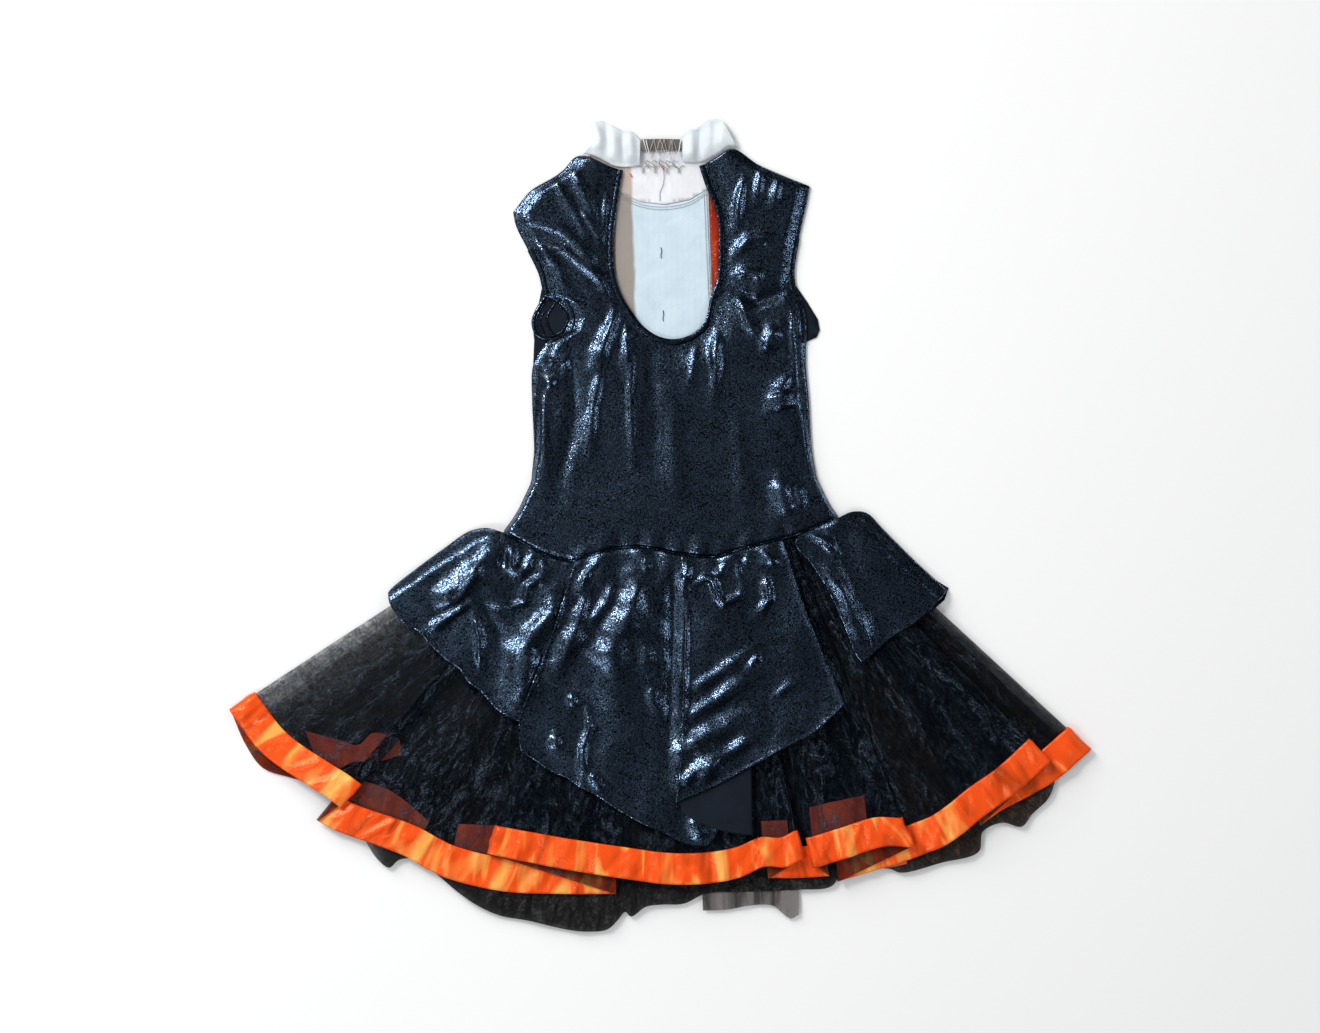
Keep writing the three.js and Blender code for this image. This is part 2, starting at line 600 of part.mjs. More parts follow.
function addPetals() {
  const top = (fromX, toX) => clip(waistSeam, fromX, toX, -WAIST_DROP);
  const joined = (from, rest) => [from, ...rest];
  const topLeft = top(-157, -76);
  addPiece('petal_left', patch({
    top: topLeft,
    bottom: [[-273, -67], [-271, -78], [-254, -101], [-234, -116], [-215, -134], [-193, -156],
      [-181, -165], [-164, -184], [-149, -193], [-136, -198]],
    left: joined(topLeft[0], [[-175, -2], [-193, -6], [-215, -21], [-245, -43], [-270, -63], [-273, -67]]),
    right: joined(topLeft[topLeft.length - 1], [[-97, -100], [-122, -160], [-136, -198]]),
  }, 11, 9, petalHeight(0, 0), FINE_WALL), 'foilKnit');
  const topCentreLeft = top(-86, 30);
  addPiece('petal_centre_left', patch({
    top: topCentreLeft,
    bottom: [[-141, -211], [-140, -224], [-126, -234], [-110, -245], [-94, -252], [-81, -261],
      [-67, -268], [-49, -280], [-18, -298], [2, -306], [23, -317], [48, -320]],
    left: joined(topCentreLeft[0], [[-111, -114], [-131, -164], [-142, -196], [-141, -211]]),
    right: joined(topCentreLeft[topCentreLeft.length - 1],
      [[35, -120], [38, -220], [57, -303], [48, -320]]),
  }, 11, 12, petalHeight(1.6, 1.6), FINE_WALL), 'foilKnit');
  addPiece('petal_flap', patch({
    top: [[18, -266], [90, -236]],
    bottom: [[20, -284], [25, -289], [57, -303], [85, -308], [91, -308]],
    left: [[18, -266], [20, -284]],
    right: [[90, -236], [91, -308]],
  }, 6, 4, petalHeight(3.2, 3.2), FINE_WALL), 'foilKnit');
  const topCentreRight = top(20, 122);
  addPiece('petal_centre_right', patch({
    top: topCentreRight,
    bottom: [[14, -277], [50, -262], [86, -243], [122, -223], [150, -209], [175, -187], [184, -178]],
    left: joined(topCentreRight[0], [[23, -94], [21, -174], [19, -234], [14, -277]]),
    right: joined(topCentreRight[topCentreRight.length - 1],
      [[133, -50], [145, -85], [159, -121], [172, -150], [184, -178]]),
  }, 11, 11, petalHeight(3.2, 4.8), FINE_WALL), 'foilKnit');
  const topRight = top(138, 177);
  addPiece('petal_right', patch({
    top: topRight,
    bottom: [[201, -138], [231, -112], [252, -99], [272, -82], [283, -69], [286, -64]],
    left: joined(topRight[0], [[134, -18], [150, -38], [170, -71], [183, -102], [195, -130], [201, -138]]),
    right: joined(topRight[topRight.length - 1],
      [[190, 14], [206, 13], [221, -2], [252, -33], [277, -56], [286, -64]]),
  }, 8, 9, petalHeight(0, 0), FINE_WALL), 'foilKnit');
}

// The front's petals lie under the skirt, flat on the floor.
function addFrontPetals() {
  const waist = (fromX, toX) => clip(waistSeam, fromX, toX, -WAIST_DROP);
  addPiece('petal_front_left', plate([
    [-235, -120], [-140, -215], [-30, -285], [-8, -150], ...waist(-150, -3).reverse(),
  ]), 'foilKnit');
  addPiece('petal_front_right', plate([
    [10, -262], [110, -225], [200, -150], [284, -74], [288, -62], ...waist(0, 176).reverse(),
  ]), 'foilKnit');
}

addFront();
addBack();
addBackCollar();
addSkirt();
addPetals();
addFrontPetals();

export default costume;
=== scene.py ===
"""Looks of a child's tutu dance costume, laid flat with its back up.

Sizes are in millimetres and become metres when a mesh is made.
"""
import math

import bpy
import numpy as np
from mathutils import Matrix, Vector, geometry


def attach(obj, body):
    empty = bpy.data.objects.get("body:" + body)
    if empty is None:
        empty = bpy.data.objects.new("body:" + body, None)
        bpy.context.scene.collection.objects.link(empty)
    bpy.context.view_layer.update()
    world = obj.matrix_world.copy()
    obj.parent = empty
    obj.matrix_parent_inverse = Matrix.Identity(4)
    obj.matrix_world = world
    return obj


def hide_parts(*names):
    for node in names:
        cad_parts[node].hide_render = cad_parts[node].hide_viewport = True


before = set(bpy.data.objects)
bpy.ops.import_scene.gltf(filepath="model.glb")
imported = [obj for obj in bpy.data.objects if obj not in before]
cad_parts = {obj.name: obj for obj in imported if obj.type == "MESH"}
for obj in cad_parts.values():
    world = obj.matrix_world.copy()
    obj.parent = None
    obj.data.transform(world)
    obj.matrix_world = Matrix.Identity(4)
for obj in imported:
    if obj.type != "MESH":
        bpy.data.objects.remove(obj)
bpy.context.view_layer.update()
MM = 0.001
BODY = "root"

# Heights of the skirt's layers, centre of each cloth, from the floor up.
FRONT_ORGANZA_Z = 1.8
FRONT_PETTICOAT_Z = 3.1
NET_Z = 4.4
BACK_PETTICOAT_Z = 5.7
BACK_ORGANZA_Z = 7.4
PLEAT_STEP_AT_WAIST = 1.6
PLEAT_STEP_AT_HEM = 4.6
RIBBON_OFFSET = 1.0
PETAL_Z = 12.1
PETAL_RISE = 6.4
PLATE_Z = 0.55
WAIST_DROP = 1.6

# The maker's pieces, each named as its solid: flat width and length in mm, area in square metres,
# thickness as shown in mm (0 for a single surface) and slot.
CLOTHS = {
    "front_left": (86, 402, 0.0232, 0.7, "foil_knit"),
    "front_right": (105, 398, 0.0283, 0.7, "foil_knit"),
    "front_bib": (108, 370, 0.0362, 0.5, "white_knit"),
    "lapel_left": (22, 390, 0.0083, 0.6, "orange_satin"),
    "lapel_right": (26, 400, 0.0068, 0.6, "orange_satin"),
    "collar_front": (153, 83, 0.0071, 0.5, "white_knit"),
    "petal_front_left": (232, 274, 0.0393, 0.7, "foil_knit"),
    "petal_front_right": (288, 269, 0.0460, 0.7, "foil_knit"),
    "bodice_back": (338, 416, 0.0870, 0.9, "foil_knit"),
    "keyhole_binding": (460, 10, 0.0036, 0, "foil_knit"),
    "armhole_hem_left": (125, 10, 0.0011, 0, "foil_knit"),
    "armhole_hem_right": (105, 10, 0.0010, 0, "foil_knit"),
    "collar_back_left": (74, 48, 0.0021, 0.8, "white_knit"),
    "collar_back_right": (70, 46, 0.0018, 0.8, "white_knit"),
    "neck_elastic": (40, 12, 0.00047, 0.7, "elastic"),
    "organza_skirt": (2950, 372, 0.62, 0, "organza"),
    "hem_ribbon": (2950, 32, 0.086, 0.4, "orange_satin"),
    "petticoat": (2200, 380, 0.42, 0, "tulle"),
    "white_net": (102, 163, 0.0127, 0, "net"),
    "petal_left": (200, 198, 0.0225, 0.8, "foil_knit"),
    "petal_centre_left": (200, 300, 0.0408, 0.8, "foil_knit"),
    "petal_flap": (73, 72, 0.0036, 0.8, "foil_knit"),
    "petal_centre_right": (172, 266, 0.0296, 0.8, "foil_knit"),
    "petal_right": (152, 154, 0.0122, 0.8, "foil_knit"),
}

# ----- small tools


def smooth(value):
    t = np.clip(value, 0, 1)
    return t * t * (3 - 2 * t)


def mix(start, end, t):
    return start + (end - start) * t


def across(line, x):
    """The height of a line, given as (x, y) points, at x."""
    points = sorted(line)
    return np.interp(x, [p[0] for p in points], [p[1] for p in points])


def upward(line, y):
    """The x of a line, given as (x, y) points, at height y."""
    points = sorted((p[1], p[0]) for p in line)
    return np.interp(y, [p[0] for p in points], [p[1] for p in points])


def run_along(line):
    """How far along its line each point is."""
    return np.concatenate([[0], np.cumsum(np.linalg.norm(np.diff(line, axis=0), axis=1))])


def along_line(x, y, line):
    """How far points are from a line, and how far along it their nearest point is, from 0 to 1."""
    line = np.array(line, float)
    before = run_along(line)
    lengths = np.diff(before)
    best = np.full(np.shape(x), 1e9)
    place = np.zeros(np.shape(x))
    for start, end, length, done in zip(line, line[1:], lengths, before):
        step = (end - start) / length
        t = np.clip((x - start[0]) * step[0] + (y - start[1]) * step[1], 0, length)
        away = np.hypot(x - start[0] - t * step[0], y - start[1] - t * step[1])
        closer = away < best
        place = np.where(closer, (done + t) / before[-1], place)
        best = np.where(closer, away, best)
    return best, place


def creases(table, x, y):
    """Soft ridges (or troughs, where the height is negative) that widen and fade along their lines."""
    total = np.zeros(np.shape(x))
    drift = 1 + 0.25 * waves(x, y, 26, 21)
    for height, width, line in table:
        away, place = along_line(x, y, line)
        fade = 0.3 + 0.7 * smooth(4 * place) * smooth(3 * (1 - place))
        wide = width * drift * (0.8 + 0.5 * place)
        total += height * fade * np.exp(-((away / wide) ** 2))
    return total


def waves(x, y, size, seed):
    """An even, smooth unevenness between -1 and 1, with bumps about as wide as size."""
    spin = np.random.default_rng(seed)
    total = np.zeros(np.shape(x))
    for _ in range(9):
        angle, phase = spin.uniform(0, 2 * math.pi, 2)
        pace = 2 * math.pi / (size * spin.uniform(0.8, 2.2))
        total += np.sin((x * math.cos(angle) + y * math.sin(angle)) * pace + phase)
    return total / 4.5


def trace(line, fractions):
    """Points evenly spaced along a smooth curve through the line."""
    p = np.array(line, float)
    if len(p) == 2:
        return p[0] + np.outer(fractions, p[1] - p[0])
    gaps = np.sqrt(np.hypot(*np.diff(p, axis=0).T))
    ends = np.vstack([2 * p[0] - p[1], p, 2 * p[-1] - p[-2]])
    gaps = np.concatenate([[gaps[0]], gaps, [gaps[-1]]])
    dense = []
    for i in range(len(p) - 1):
        a, b, c, d = ends[i : i + 4]
        g0, g1, g2 = gaps[i : i + 3]
        lead = (b - a) / g0 - (c - a) / (g0 + g1) + (c - b) / g1
        tail = (c - b) / g1 - (d - b) / (g1 + g2) + (d - c) / g2
        for t in np.linspace(0, 1, 16, endpoint=False):
            h1 = 2 * t**3 - 3 * t**2 + 1
            h2 = t**3 - 2 * t**2 + t
            h3 = t**3 - t**2
            dense.append(h1 * b + (1 - h1) * c + (h2 * lead + h3 * tail) * g1)
    dense = np.array(dense + [p[-1]])
    run = run_along(dense)
    run /= run[-1]
    return np.column_stack([np.interp(fractions, run, dense[:, k]) for k in (0, 1)])


# ----- making the meshes


def mesh_piece(name, points, faces, material, cloth_xy, slot):
    """A surface that rides with the costume; cloth_xy is each point's place on the flat cloth."""
    mesh = bpy.data.meshes.new(name)
    mesh.from_pydata([tuple(p) for p in np.array(points) * MM], [], [tuple(f) for f in faces])
    layer = mesh.uv_layers.new(name="cloth")
    loops = np.zeros(len(mesh.loops), int)
    mesh.loops.foreach_get("vertex_index", loops)
    layer.data.foreach_set("uv", (np.array(cloth_xy)[loops] * MM).ravel())
    mesh.shade_smooth()
    mesh.materials.append(material)
    return ridden(bpy.data.objects.new(name, mesh))


def ridden(piece):
    bpy.context.scene.collection.objects.link(piece)
    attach(piece, BODY)
    return piece


def sheet(node, points, faces, material, cloth_xy, own=()):
    """One of CLOTHS: a sheet that stands for its solid. own, the smaller pieces that it owns, is not used.
    """
    width, length, area, thickness, slot = CLOTHS[node]
    piece = mesh_piece(f"{node}_cloth", points, faces, material, cloth_xy, slot)
    if thickness:
        solidify = piece.modifiers.new("thickness", "SOLIDIFY")
        solidify.thickness = thickness * MM
        solidify.offset = 0
    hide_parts(node)
    return piece


def grid_faces(rows, columns, closed=False, first=0):
    steps = columns if closed else columns - 1
    row, column = np.meshgrid(np.arange(rows - 1), np.arange(steps), indexing="ij")
    top = first + row * columns
    after = (column + 1) % columns
    faces = np.stack([top + column, top + columns + column, top + columns + after, top + after], -1)
    return faces.reshape(-1, 4)


def patch_plan(edges, columns, rows):
    """A net of (x, y) between four edge lines, rows from the top down."""
    u = np.linspace(0, 1, columns + 1)
    v = np.linspace(0, 1, rows + 1)
    top, bottom = trace(edges["top"], u), trace(edges["bottom"], u)
    left, right = trace(edges["left"], v), trace(edges["right"], v)
    u, v = u[None, :, None], v[:, None, None]
    net = (1 - v) * top + v * bottom + (1 - u) * left[:, None] + u * right[:, None]
    net -= (1 - u) * (1 - v) * top[0] + u * (1 - v) * top[-1]
    net -= (1 - u) * v * bottom[0] + u * v * bottom[-1]
    return net


def between(top, bottom, left=(), right=()):
    """A patch's four edges; its sides are given without their corners, from the top down."""
    left = [top[0], *left, bottom[0]]
    right = [top[-1], *right, bottom[-1]]
    return {"top": top, "bottom": bottom, "left": left, "right": right}


def rolled_edges(net):
    """How much a patch's free sides and hem curl up, from 0 inside to 1 at their edges."""
    from_left = np.array([run_along(row) for row in net])
    from_side = np.minimum(from_left, from_left[:, -1:] - from_left)
    from_top = np.array([run_along(column) for column in net.swapaxes(0, 1)]).T
    from_hem = from_top[-1:] - from_top
    near = np.exp(-((np.minimum(from_side, from_hem) / 3.5) ** 2))
    return near * smooth(from_top / 30)


def patch(name, edges, cell, height, material, roll=0.0, make=sheet, **rest):
    """A patch of cloth between four edges, with cells of about that many millimetres."""
    size = {side: run_along(np.array(line, float))[-1] for side, line in edges.items()}
    columns = int(max(size["top"], size["bottom"]) / cell)
    rows = int(max(size["left"], size["right"]) / cell)
    net = patch_plan(edges, columns, rows)
    z = height(net[..., 0], net[..., 1]) + roll * rolled_edges(net)
    points = np.dstack([net, z]).reshape(-1, 3)
    return make(name, points, grid_faces(rows + 1, columns + 1), material, points[:, :2], **rest)


def panel(name, outline, cell, height, material):
    """A panel of cloth of any outline, with cells of about that many millimetres."""
    outline = np.array(outline, float)
    edge = []
    for start, end in zip(outline, np.roll(outline, -1, axis=0)):
        steps = max(1, round(np.hypot(*(end - start)) / cell))
        edge += [start + (end - start) * k / steps for k in range(steps)]
    low, high = outline.min(0), outline.max(0)
    inside = [
        (x, y)
        for x in np.arange(low[0] + cell / 2, high[0], cell)
        for y in np.arange(low[1] + cell / 2, high[1], cell)
    ]
    points = [Vector(p) for p in edge + inside]
    ring = [(k, (k + 1) % len(edge)) for k in range(len(edge))]
    flat, _, faces, *_ = geometry.delaunay_2d_cdt(points, ring, [], 1, 0.01)
    xy = np.array([tuple(p) for p in flat])
    z = height(xy[:, 0], xy[:, 1])
    return sheet(name, np.column_stack([xy, z]), faces, material, xy)


def laid_thread(name, line, z, steps, radius, material):
    """A thread that lies at one height along a smooth curve through the line."""
    path = trace(line, np.linspace(0, 1, steps))
    return thread(name, [(x, y, z) for x, y in path], radius, material)


def thread(name, points, radius, material, smoothly=True):
    """A sewn thread or cord through points, as a fine round curve."""
    curve = bpy.data.curves.new(name, "CURVE")
    curve.dimensions = "3D"
    curve.bevel_depth = radius * MM
    curve.bevel_resolution = 1
    spline = curve.splines.new("NURBS" if smoothly else "POLY")
    spline.points.add(len(points) - 1)
    for target, point in zip(spline.points, points):
        target.co = (*(Vector(point) * MM), 1)
    if smoothly:
        spline.order_u = 3
        spline.use_endpoint_u = True
    curve.materials.append(material)
    return ridden(bpy.data.objects.new(name, curve))


# ----- materials


class Nodes:
    """A short way to write a material's nodes. An input is given by name, or as i0, i1 and so on."""

    def __init__(self, name):
        self.material = bpy.data.materials.new(name)
        self.material.use_nodes = True
        self.tree = self.material.node_tree
        self.shader = self.tree.nodes["Principled BSDF"]
        self.output = self.tree.nodes["Material Output"]
        self.place = self.add("TexCoord").outputs["Object"]
        self.cloth = self.add("TexCoord").outputs["UV"]

    def add(self, kind, **inputs):
        node = self.tree.nodes.new("ShaderNode" + kind)
        for name, value in inputs.items():
            self.put(node, name.replace("_", " "), value)
        return node

    def put(self, node, name, value):
        numbered = name[0] == "i" and name[1:].isdigit()
        target = node.inputs[int(name[1:]) if numbered else name]
        if isinstance(value, bpy.types.NodeSocket):
            self.tree.links.new(value, target)
        else:
            target.default_value = value

    def stretched(self, source, x, y):
        return self.add("Mapping", Vector=source, Scale=(x, y, 1)).outputs["Vector"]

    def noise(self, source, scale, detail=3.0, roughness=0.55, distortion=0.0):
        node = self.add("TexNoise", Vector=source, Scale=scale, Detail=detail, Roughness=roughness)
        self.put(node, "Distortion", distortion)
        return node.outputs["Fac"]

    def grey(self, value, low, high, start=0.0, end=1.0):
        node = self.add("MapRange", Value=value)
        for name, number in (("From Min", low), ("From Max", high), ("To Min", start), ("To Max", end)):
            self.put(node, name, number)
        return node.outputs["Result"]

    def maths(self, operation, a, b=0.0):
        node = self.add("Math", i0=a, i1=b)
        node.operation = operation
        return node.outputs[0]

    def vector(self, operation, a, b=(0.0, 0.0, 0.0)):
        node = self.add("VectorMath", i0=a, i1=b)
        node.operation = operation
        return node.outputs["Value" if operation == "DOT_PRODUCT" else "Vector"]

    def times(self, a, b):
        return self.maths("MULTIPLY", a, b)

    def beyond(self, x, y, edge):
        """How far a point is inside a straight edge, whose outward direction is (x, y)."""
        return self.maths("SUBTRACT", edge, self.vector("DOT_PRODUCT", self.place, (x, y, 0.0)))

    def blend(self, factor, a, b):
        node = self.add("Mix")
        node.data_type = "RGBA"
        self.put(node, "Factor", factor)
        for index, value in ((6, a), (7, b)):
            self.put(node, f"i{index}", (*value, 1) if isinstance(value, tuple) else value)
        return node.outputs[2]

    def bump(self, height, distance, strength=1.0, under=None):
        node = self.add("Bump", Height=height, Distance=distance, Strength=strength)
        if under is not None:
            self.put(node, "Normal", under)
        return node.outputs["Normal"]

    def surface(self, **inputs):
        for name, value in inputs.items():
            if isinstance(value, tuple) and len(value) == 3:
                value = (*value, 1)
            self.put(self.shader, name.replace("_", " "), value)
        return self.material

    def see_through(self, opacity):
        """Lets light straight through where opacity is under 1."""
        clear = self.add("BsdfTransparent").outputs[0]
        both = self.add("MixShader", i0=opacity, i1=clear, i2=self.shader.outputs[0])
        self.tree.links.new(both.outputs[0], self.output.inputs["Surface"])
        return self.material


def foil_knit(name, shine=1.0):
    """Near-black jersey printed with tiny foil dots, each tilted a little its own way."""
    n = Nodes(name)
    dots = n.add("TexVoronoi", Vector=n.place, Scale=1180.0, Randomness=0.9)
    worn = n.grey(n.noise(n.place, 26.0, 3.0), 0.3, 0.62, 0.8, 1.0)
    foil = n.times(n.grey(dots.outputs["Distance"], 0.52, 0.30), worn)
    own = n.grey(dots.outputs["Color"], 0.1, 0.9, 0.5, 1.4)
    foil = n.times(foil, own)
    colour = n.blend(foil, (0.003, 0.006, 0.011), (0.37 * shine, 0.54 * shine, 0.80 * shine))
    crinkle = n.noise(n.place, 60.0, 4.0, 0.55, 0.5)
    normal = n.bump(crinkle, 0.0007, 0.5)
    normal = n.bump(n.noise(n.place, 420.0, 2.0), 0.0003, 0.5, normal)
    jitter = n.vector("SUBTRACT", dots.outputs["Color"], (0.5, 0.5, 0.5))
    jitter = n.vector("MULTIPLY", jitter, (0.15, 0.15, 0.15))
    normal = n.vector("NORMALIZE", n.vector("ADD", normal, jitter))
    return n.surface(
        Base_Color=colour,
        Metallic=1.0,
        Roughness=n.grey(foil, 0, 1, 0.45, 0.22),
        Specular_IOR_Level=0.3,
        Normal=normal,
    )


def matte_back():
    """The wrong side of the foil knit: plain blue-black jersey."""
    n = Nodes("matte_wrong_side")
    rib = n.noise(n.stretched(n.place, 1.0, 3.0), 700.0, 2.0)
    colour = n.blend(n.noise(n.place, 60.0, 4.0), (0.006, 0.009, 0.015), (0.014, 0.019, 0.030))
    return n.surface(
        Base_Color=colour, Roughness=0.85, Specular_IOR_Level=0.1,
        Normal=n.bump(rib, 0.0004, 0.7),
    )


# The skirt's two straight sides: the direction that points out of each, and how far out it lies, in metres.
LEFT_SIDE = (-0.545, 0.838, 0.0786)
RIGHT_SIDE = (0.671, 0.741, 0.1236)
# How far in from the left side the petticoat has few gathers, in metres.
SPARSE_LEFT = 0.1573


def organza():
    """Sheer, crisp black cloth, with more light through it at the skirt's left side, and light glints
    painted into its colour: speckles along its crumples, strong in broad bands with painted fold shade
    between them and stronger near the left side.
    """
    n = Nodes("black_organza")
    crumple = n.noise(n.stretched(n.cloth, 1.0, 0.5), 70.0, 7.0, 0.78, 1.8)
    grain = n.noise(n.place, 620.0, 3.0, 0.7)
    broad = n.noise(n.stretched(n.cloth, 1.0, 0.15), 40.0, 3.0)
    normal = n.bump(crumple, 0.008, 1.0)
    normal = n.bump(grain, 0.0006, 0.8, normal)
    # Painted glints: light speckle painted into the base colour where the crumple and grain noises are high,
    # scaled by broad bands (faint between them, as painted fold shade) and raised near the left side.
    painted_glint = n.times(n.grey(crumple, 0.47, 0.66), n.grey(grain, 0.40, 0.62))
    inside = n.maths("ADD", n.beyond(*LEFT_SIDE), n.times(crumple, 0.04))
    haze = n.grey(inside, 0.040, 0.078, 1.0, 0.0)
    strong = n.maths("ADD", n.grey(broad, 0.38, 0.6, 0.05, 1.25), n.times(haze, 1.2))
    painted_glint = n.times(painted_glint, strong)
    colour = n.blend(painted_glint, (0.0006, 0.0026, 0.0066), (0.13, 0.18, 0.25))
    n.surface(
        Base_Color=colour, Roughness=0.34, Specular_IOR_Level=0.4, Specular_Tint=(0.7, 0.88, 1.0),
        Normal=normal,
    )
    opacity = n.grey(crumple, 0.36, 0.62, 0.50, 0.72)
    mottle = n.grey(n.noise(n.place, 150.0, 5.0, 0.7, 1.5), 0.40, 0.62, 0.0, 0.42)
    opacity = n.maths("SUBTRACT", opacity, n.times(haze, mottle))
    return n.see_through(n.maths("ADD", opacity, n.times(painted_glint, 0.2)))


def tulle():
    """Fine black net: almost opaque where it is gathered, and a warmer black to the right, with light glints
    painted into its colour on its crinkles.
    """
    n = Nodes("black_tulle")
    grain = n.noise(n.place, 420.0, 4.0, 0.7)
    soft = n.noise(n.stretched(n.cloth, 1.0, 0.5), 80.0, 5.0, 0.68, 1.4)
    normal = n.bump(soft, 0.009, 0.9)
    normal = n.bump(grain, 0.0008, 0.7, normal)
    warm = n.grey(n.beyond(-1.0, 0.0, -0.17), 0.0, 0.08)
    # Painted glints: the light colour where the crinkle and grain noises are high, the dark colour
    # elsewhere.
    dark = n.blend(warm, (0.0012, 0.0014, 0.002), (0.012, 0.006, 0.003))
    light = n.blend(warm, (0.085, 0.08, 0.075), (0.16, 0.10, 0.055))
    colour = n.blend(n.times(n.grey(soft, 0.44, 0.7), n.grey(grain, 0.42, 0.62)), dark, light)
    n.surface(Base_Color=colour, Roughness=0.5, Specular_IOR_Level=0.4, Normal=normal)
    left, right = n.beyond(*LEFT_SIDE), n.beyond(*RIGHT_SIDE)
    inside = n.maths("MINIMUM", n.maths("SUBTRACT", left, SPARSE_LEFT), right)
    thin = n.grey(n.maths("ADD", inside, n.times(soft, 0.05)), 0.0, 0.08, 0.30, 1.0)
    return n.see_through(n.times(n.grey(grain, 0.3, 0.7, 0.93, 0.99), thin))


def satin(name, colour, deep):
    """Satin ribbon: a soft sheen across fine ribs, and small puckers from its stitching, with light and
    shade painted into its colour in patches along the cloth: colour is a painted highlight, deep the
    ribbon's own colour, and a darker copy of deep a painted shade.
    """
    n = Nodes(name)
    rib = n.noise(n.place, 1300.0, 1.0)
    pucker = n.noise(n.place, 70.0, 4.0, 0.6, 0.5)
    normal = n.bump(pucker, 0.0025, 0.5)
    normal = n.bump(rib, 0.0002, 0.6, normal)
    painted_sheen = n.noise(n.stretched(n.cloth, 1.0, 0.25), 42.0, 2.0, 0.5, 1.0)
    # Painted shade: a darker copy of deep where the stretched sheen noise is low; painted highlight: colour
    # where it is high.
    dark = tuple(0.55 * part for part in deep)
    tone = n.blend(n.grey(painted_sheen, 0.30, 0.47), dark, deep)
    tone = n.blend(n.grey(painted_sheen, 0.54, 0.70), tone, colour)
    return n.surface(
        Base_Color=tone, Roughness=0.26, Specular_IOR_Level=0.8,
        Specular_Tint=(1.0, 0.62, 0.30), Normal=normal,
    )


def jersey(name, light, shade, painted_shadow=None):
    """Plain matte knit, with fine wales and shade painted into its colour: shade is a painted darker colour
    in the hollows of its creases, light the colour on their rises, and the last colour, if given, a painted
    cast shadow beside the keyhole's left edge.
    """
    n = Nodes(name)
    wales = n.add("TexWave", Vector=n.place, Scale=260.0, Distortion=1.5, Detail=2.0)
    creased = n.noise(n.place, 38.0, 4.0, 0.55, 0.4)
    normal = n.bump(creased, 0.003, 0.5)
    normal = n.bump(wales.outputs["Fac"], 0.00025, 0.5, normal)
    # Painted shade: the shade colour in the hollows of the crease noise, the light colour on its rises.
    colour = n.blend(n.grey(creased, 0.3, 0.7), shade, light)
    # Painted cast shadow: the last colour, left of a slightly wandering line near the keyhole's left edge.
    if painted_shadow:
        right = n.beyond(-1.0, -0.03, 0.019)
        wander = n.times(n.noise(n.place, 30.0, 2.0), 0.006)
        outside_painted_shadow = n.grey(n.maths("ADD", right, wander), 0.0015, 0.0045)
        colour = n.blend(outside_painted_shadow, painted_shadow, colour)
    return n.surface(
        Base_Color=colour, Roughness=0.85, Specular_IOR_Level=0.2, Sheen_Weight=0.15, Normal=normal
    )


def net():
    """Stiff greyish-white net, painted darker and lighter in long bands as the shade and light of its folds.
    """
    n = Nodes("white_net")
    mesh = n.add("TexVoronoi", Vector=n.place, Scale=620.0, Randomness=0.25)
    mesh.feature = "DISTANCE_TO_EDGE"
    holes = n.grey(mesh.outputs["Distance"], 0.08, 0.2, 1.0, 0.80)
    gathers = n.noise(n.stretched(n.place, 1.0, 0.12), 95.0, 3.0)
    # Painted shade: darker bands along the stretched fold noise, lighter between them.
    colour = n.blend(n.grey(gathers, 0.38, 0.6), (0.045, 0.040, 0.038), (0.20, 0.178, 0.17))
    n.surface(Base_Color=colour, Roughness=0.7, Specular_IOR_Level=0.3)
    return n.see_through(holes)


def plain(name, colour, roughness):
    n = Nodes(name)
    grain = n.noise(n.place, 900.0, 2.0)
    dark = tuple(0.7 * part for part in colour)
    return n.surface(
        Base_Color=n.blend(grain, dark, colour), Roughness=roughness, Normal=n.bump(grain, 0.0003, 0.5)
    )


FOIL = foil_knit("foil_dot_knit")
FOIL_TRIM = foil_knit("foil_dot_trim", 0.45)
MATTE = matte_back()
ORGANZA = organza()
TULLE = tulle()
# Each satin's first colour is its painted highlight and its second its own colour, painted darker in places
# as shade.
ORANGE = satin("orange_satin", (1.0, 0.44, 0.090), (1.0, 0.088, 0.008))
LAPEL = satin("orange_wrong_side", (0.60, 0.045, 0.014), (0.33, 0.018, 0.008))
# Each jersey's second colour is painted crease shade; the bib's and inner collar's last colours are a
# painted cast shadow beside the keyhole's left edge.
WHITE = jersey("white_jersey", (0.78, 0.83, 0.85), (0.62, 0.66, 0.70))
BIB = jersey("bib_jersey", (0.64, 0.76, 0.83), (0.56, 0.68, 0.76), (0.33, 0.29, 0.26))
INNER = jersey("inner_jersey", (0.86, 0.87, 0.90), (0.76, 0.76, 0.79), (0.52, 0.43, 0.37))
UNDER = satin("ribbon_underneath", (0.90, 0.20, 0.12), (0.75, 0.12, 0.07))
NET = net()
ELASTIC = plain("taupe_elastic", (0.17, 0.14, 0.115), 0.7)
CLEAR = plain("clear_thread", (0.95, 0.96, 0.98), 0.3)
BLACK_THREAD = plain("black_thread", (0.015, 0.015, 0.018), 0.6)
SEAM_THREAD = plain("seam_thread", (0.40, 0.38, 0.37), 0.6)

# ----- lines of the garment

